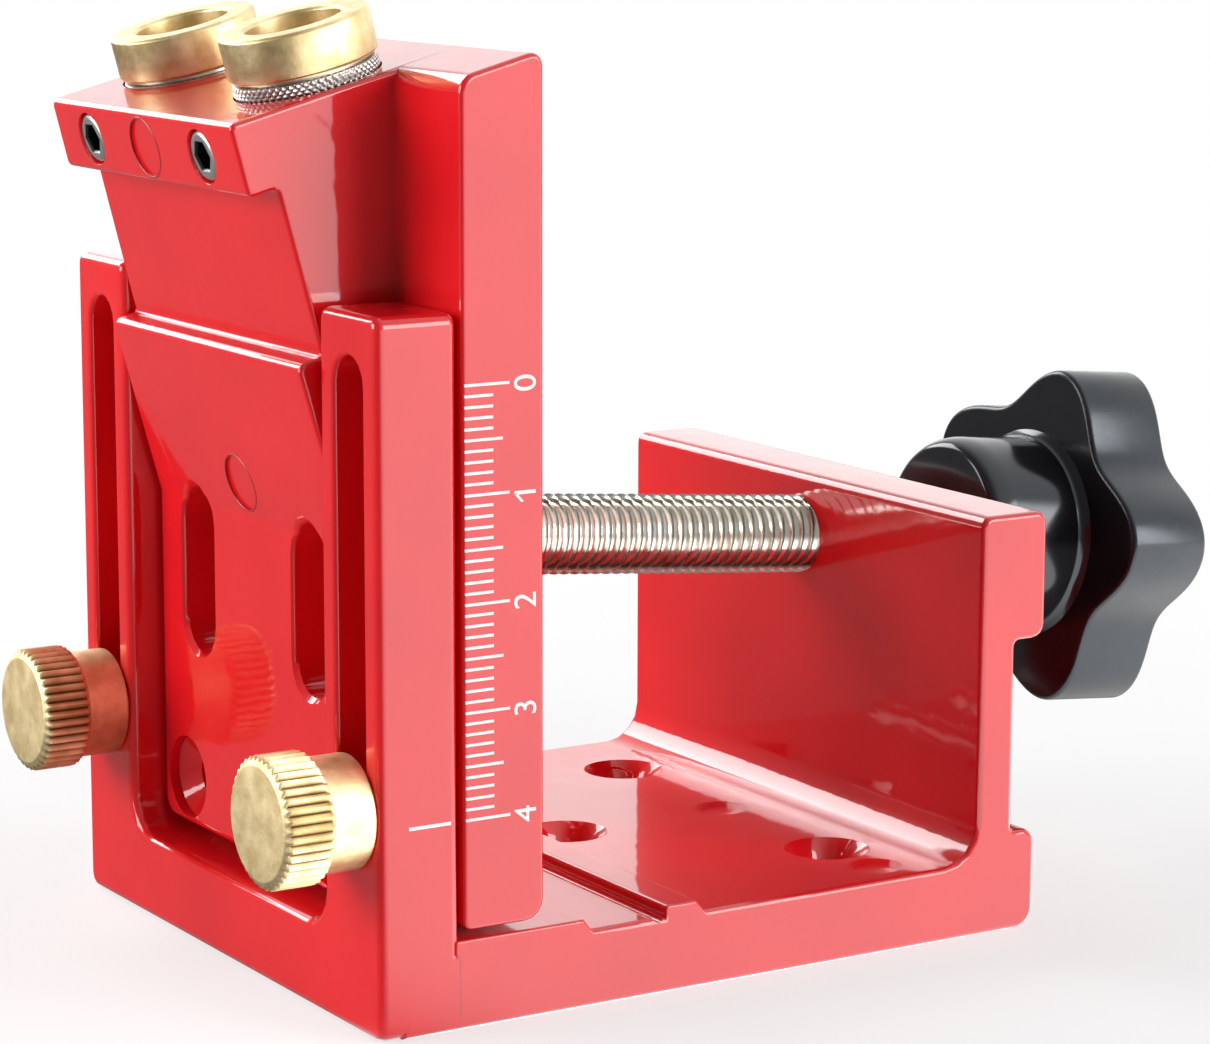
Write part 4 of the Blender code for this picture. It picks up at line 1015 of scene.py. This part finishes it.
def build_world():
    world = bpy.data.worlds.new("studio")
    bpy.context.scene.world = world
    world.use_nodes = True
    tree = world.node_tree
    tree.nodes.clear()
    direction = add_node(tree, "ShaderNodeTexCoord").outputs["Generated"]
    path = add_node(tree, "ShaderNodeLightPath")
    glow = mirrored_glow(tree, direction, SKY_SIDE, SKY_SHARE, SKY_GLOW)
    unseen = add_node(tree, "ShaderNodeMix", {
        "Factor": path.outputs["Is Glossy Ray"], "A": AMBIENT, "B": glow}).outputs[0]
    strength = add_node(tree, "ShaderNodeMix", {
        "Factor": path.outputs["Is Camera Ray"], "A": unseen, "B": 1.0}).outputs[0]
    back = add_node(tree, "ShaderNodeBackground", {"Color": (1, 1, 1, 1), "Strength": strength})
    out = add_node(tree, "ShaderNodeOutputWorld")
    tree.links.new(back.outputs[0], out.inputs["Surface"])
    print("the world", world.name, "has", len(tree.nodes), "nodes")


build_world()

# %% [markdown]
# ## The floor
# The floor is matt for the light that falls on it, so it takes a soft shadow.  The camera
# sees a white glow mixed over it, fainter near the object, where the shadow is to show.
# Straight under the object the glow is left out, or the bolt holes would shine.

# %% Floor
FLOOR_HALF, FLOOR_DROP, FLOOR_TONE = 3.0, 0.05 * MM, (0.88, 0.88, 0.88, 1)
FADE_NEAR, FADE_FAR, FADE_LEAST = 0.05, 0.24, 0.65
UNDER_MIDDLE, UNDER_HALF = Vector((0, 20, 0)) * MM, (30 * MM, 35 * MM)


def beside_object(tree, where):
    """1 on the open floor and 0 under the object."""
    away = add_node(tree, "ShaderNodeVectorMath", {0: where, 1: UNDER_MIDDLE},
                    operation="SUBTRACT")
    apart = add_node(tree, "ShaderNodeVectorMath", {0: away.outputs["Vector"]},
                     operation="ABSOLUTE")
    split = add_node(tree, "ShaderNodeSeparateXYZ", {"Vector": apart.outputs["Vector"]})
    outside = [calculate(tree, "GREATER_THAN", split.outputs[axis], half)
               for axis, half in zip("XY", UNDER_HALF)]
    return calculate(tree, "MAXIMUM", *outside)


def floor_material():
    material = bpy.data.materials.new("studio_floor")
    material.use_nodes = True
    tree = material.node_tree
    tree.nodes.clear()
    where = add_node(tree, "ShaderNodeTexCoord").outputs["Object"]
    path = add_node(tree, "ShaderNodeLightPath")
    glossy, camera = path.outputs["Is Glossy Ray"], path.outputs["Is Camera Ray"]
    far = add_node(tree, "ShaderNodeVectorMath", {0: where}, operation="LENGTH")
    fade = add_node(tree, "ShaderNodeMapRange", {
        "Value": far.outputs["Value"], "From Min": FADE_NEAR, "From Max": FADE_FAR,
        "To Min": FADE_LEAST}, interpolation_type="SMOOTHSTEP").outputs[0]
    fade = calculate(tree, "MULTIPLY", fade, beside_object(tree, where))
    glowing = calculate(tree, "MAXIMUM", glossy, calculate(tree, "MULTIPLY", camera, fade))
    direction = add_node(tree, "ShaderNodeVectorMath", {0: where}, operation="NORMALIZE")
    strength = add_node(tree, "ShaderNodeMix", {
        "Factor": glossy, "A": 1.0, "B": mirrored_glow(
            tree, direction.outputs["Vector"], FLOOR_SIDE, FLOOR_SHARE, FLOOR_GLOW)})
    matt = add_node(tree, "ShaderNodeBsdfDiffuse", {"Color": FLOOR_TONE})
    glow = add_node(tree, "ShaderNodeEmission", {"Strength": strength.outputs[0]})
    mix = add_node(tree, "ShaderNodeMixShader", {
        0: glowing, 1: matt.outputs[0], 2: glow.outputs[0]})
    out = add_node(tree, "ShaderNodeOutputMaterial")
    tree.links.new(mix.outputs[0], out.inputs["Surface"])
    return material


def build_floor():
    bm = bmesh.new()
    bmesh.ops.create_grid(bm, x_segments=1, y_segments=1, size=FLOOR_HALF)
    floor = built("studio_floor", bm)
    floor.location.z = -FLOOR_DROP
    floor.data.materials.append(floor_material())
    print(floor.name, "is", 2 * FLOOR_HALF, "m wide")


build_floor()

# %% [markdown]
# ## Lamps
# Soft light comes from wide lamps.  One stands at the right rear, the widest at the front
# left and the smallest on the left.

# %% Lamps
LAMP_AIM = Vector((0, 10, 40)) * MM


def softbox(name, place, size, power):
    data = bpy.data.lights.new(name, "AREA")
    data.shape, data.size, data.size_y, data.energy = "RECTANGLE", *size, power
    lamp = bpy.data.objects.new(name, data)
    lamp.location = place
    lamp.rotation_euler = (LAMP_AIM - Vector(place)).to_track_quat("-Z", "Y").to_euler()
    bpy.context.scene.collection.objects.link(lamp)


softbox("right_softbox", place=(0.54, 0.33, 0.24), size=(0.4, 0.35), power=3.9)
softbox("front_softbox", place=(-0.26, -0.64, 0.25), size=(0.45, 0.4), power=5.2)
softbox("left_softbox", place=(-0.46, -0.08, 0.32), size=(0.3, 0.25), power=2.0)
bpy.context.scene.view_settings.view_transform = "Standard"
print("lamps:", len(bpy.data.lights))
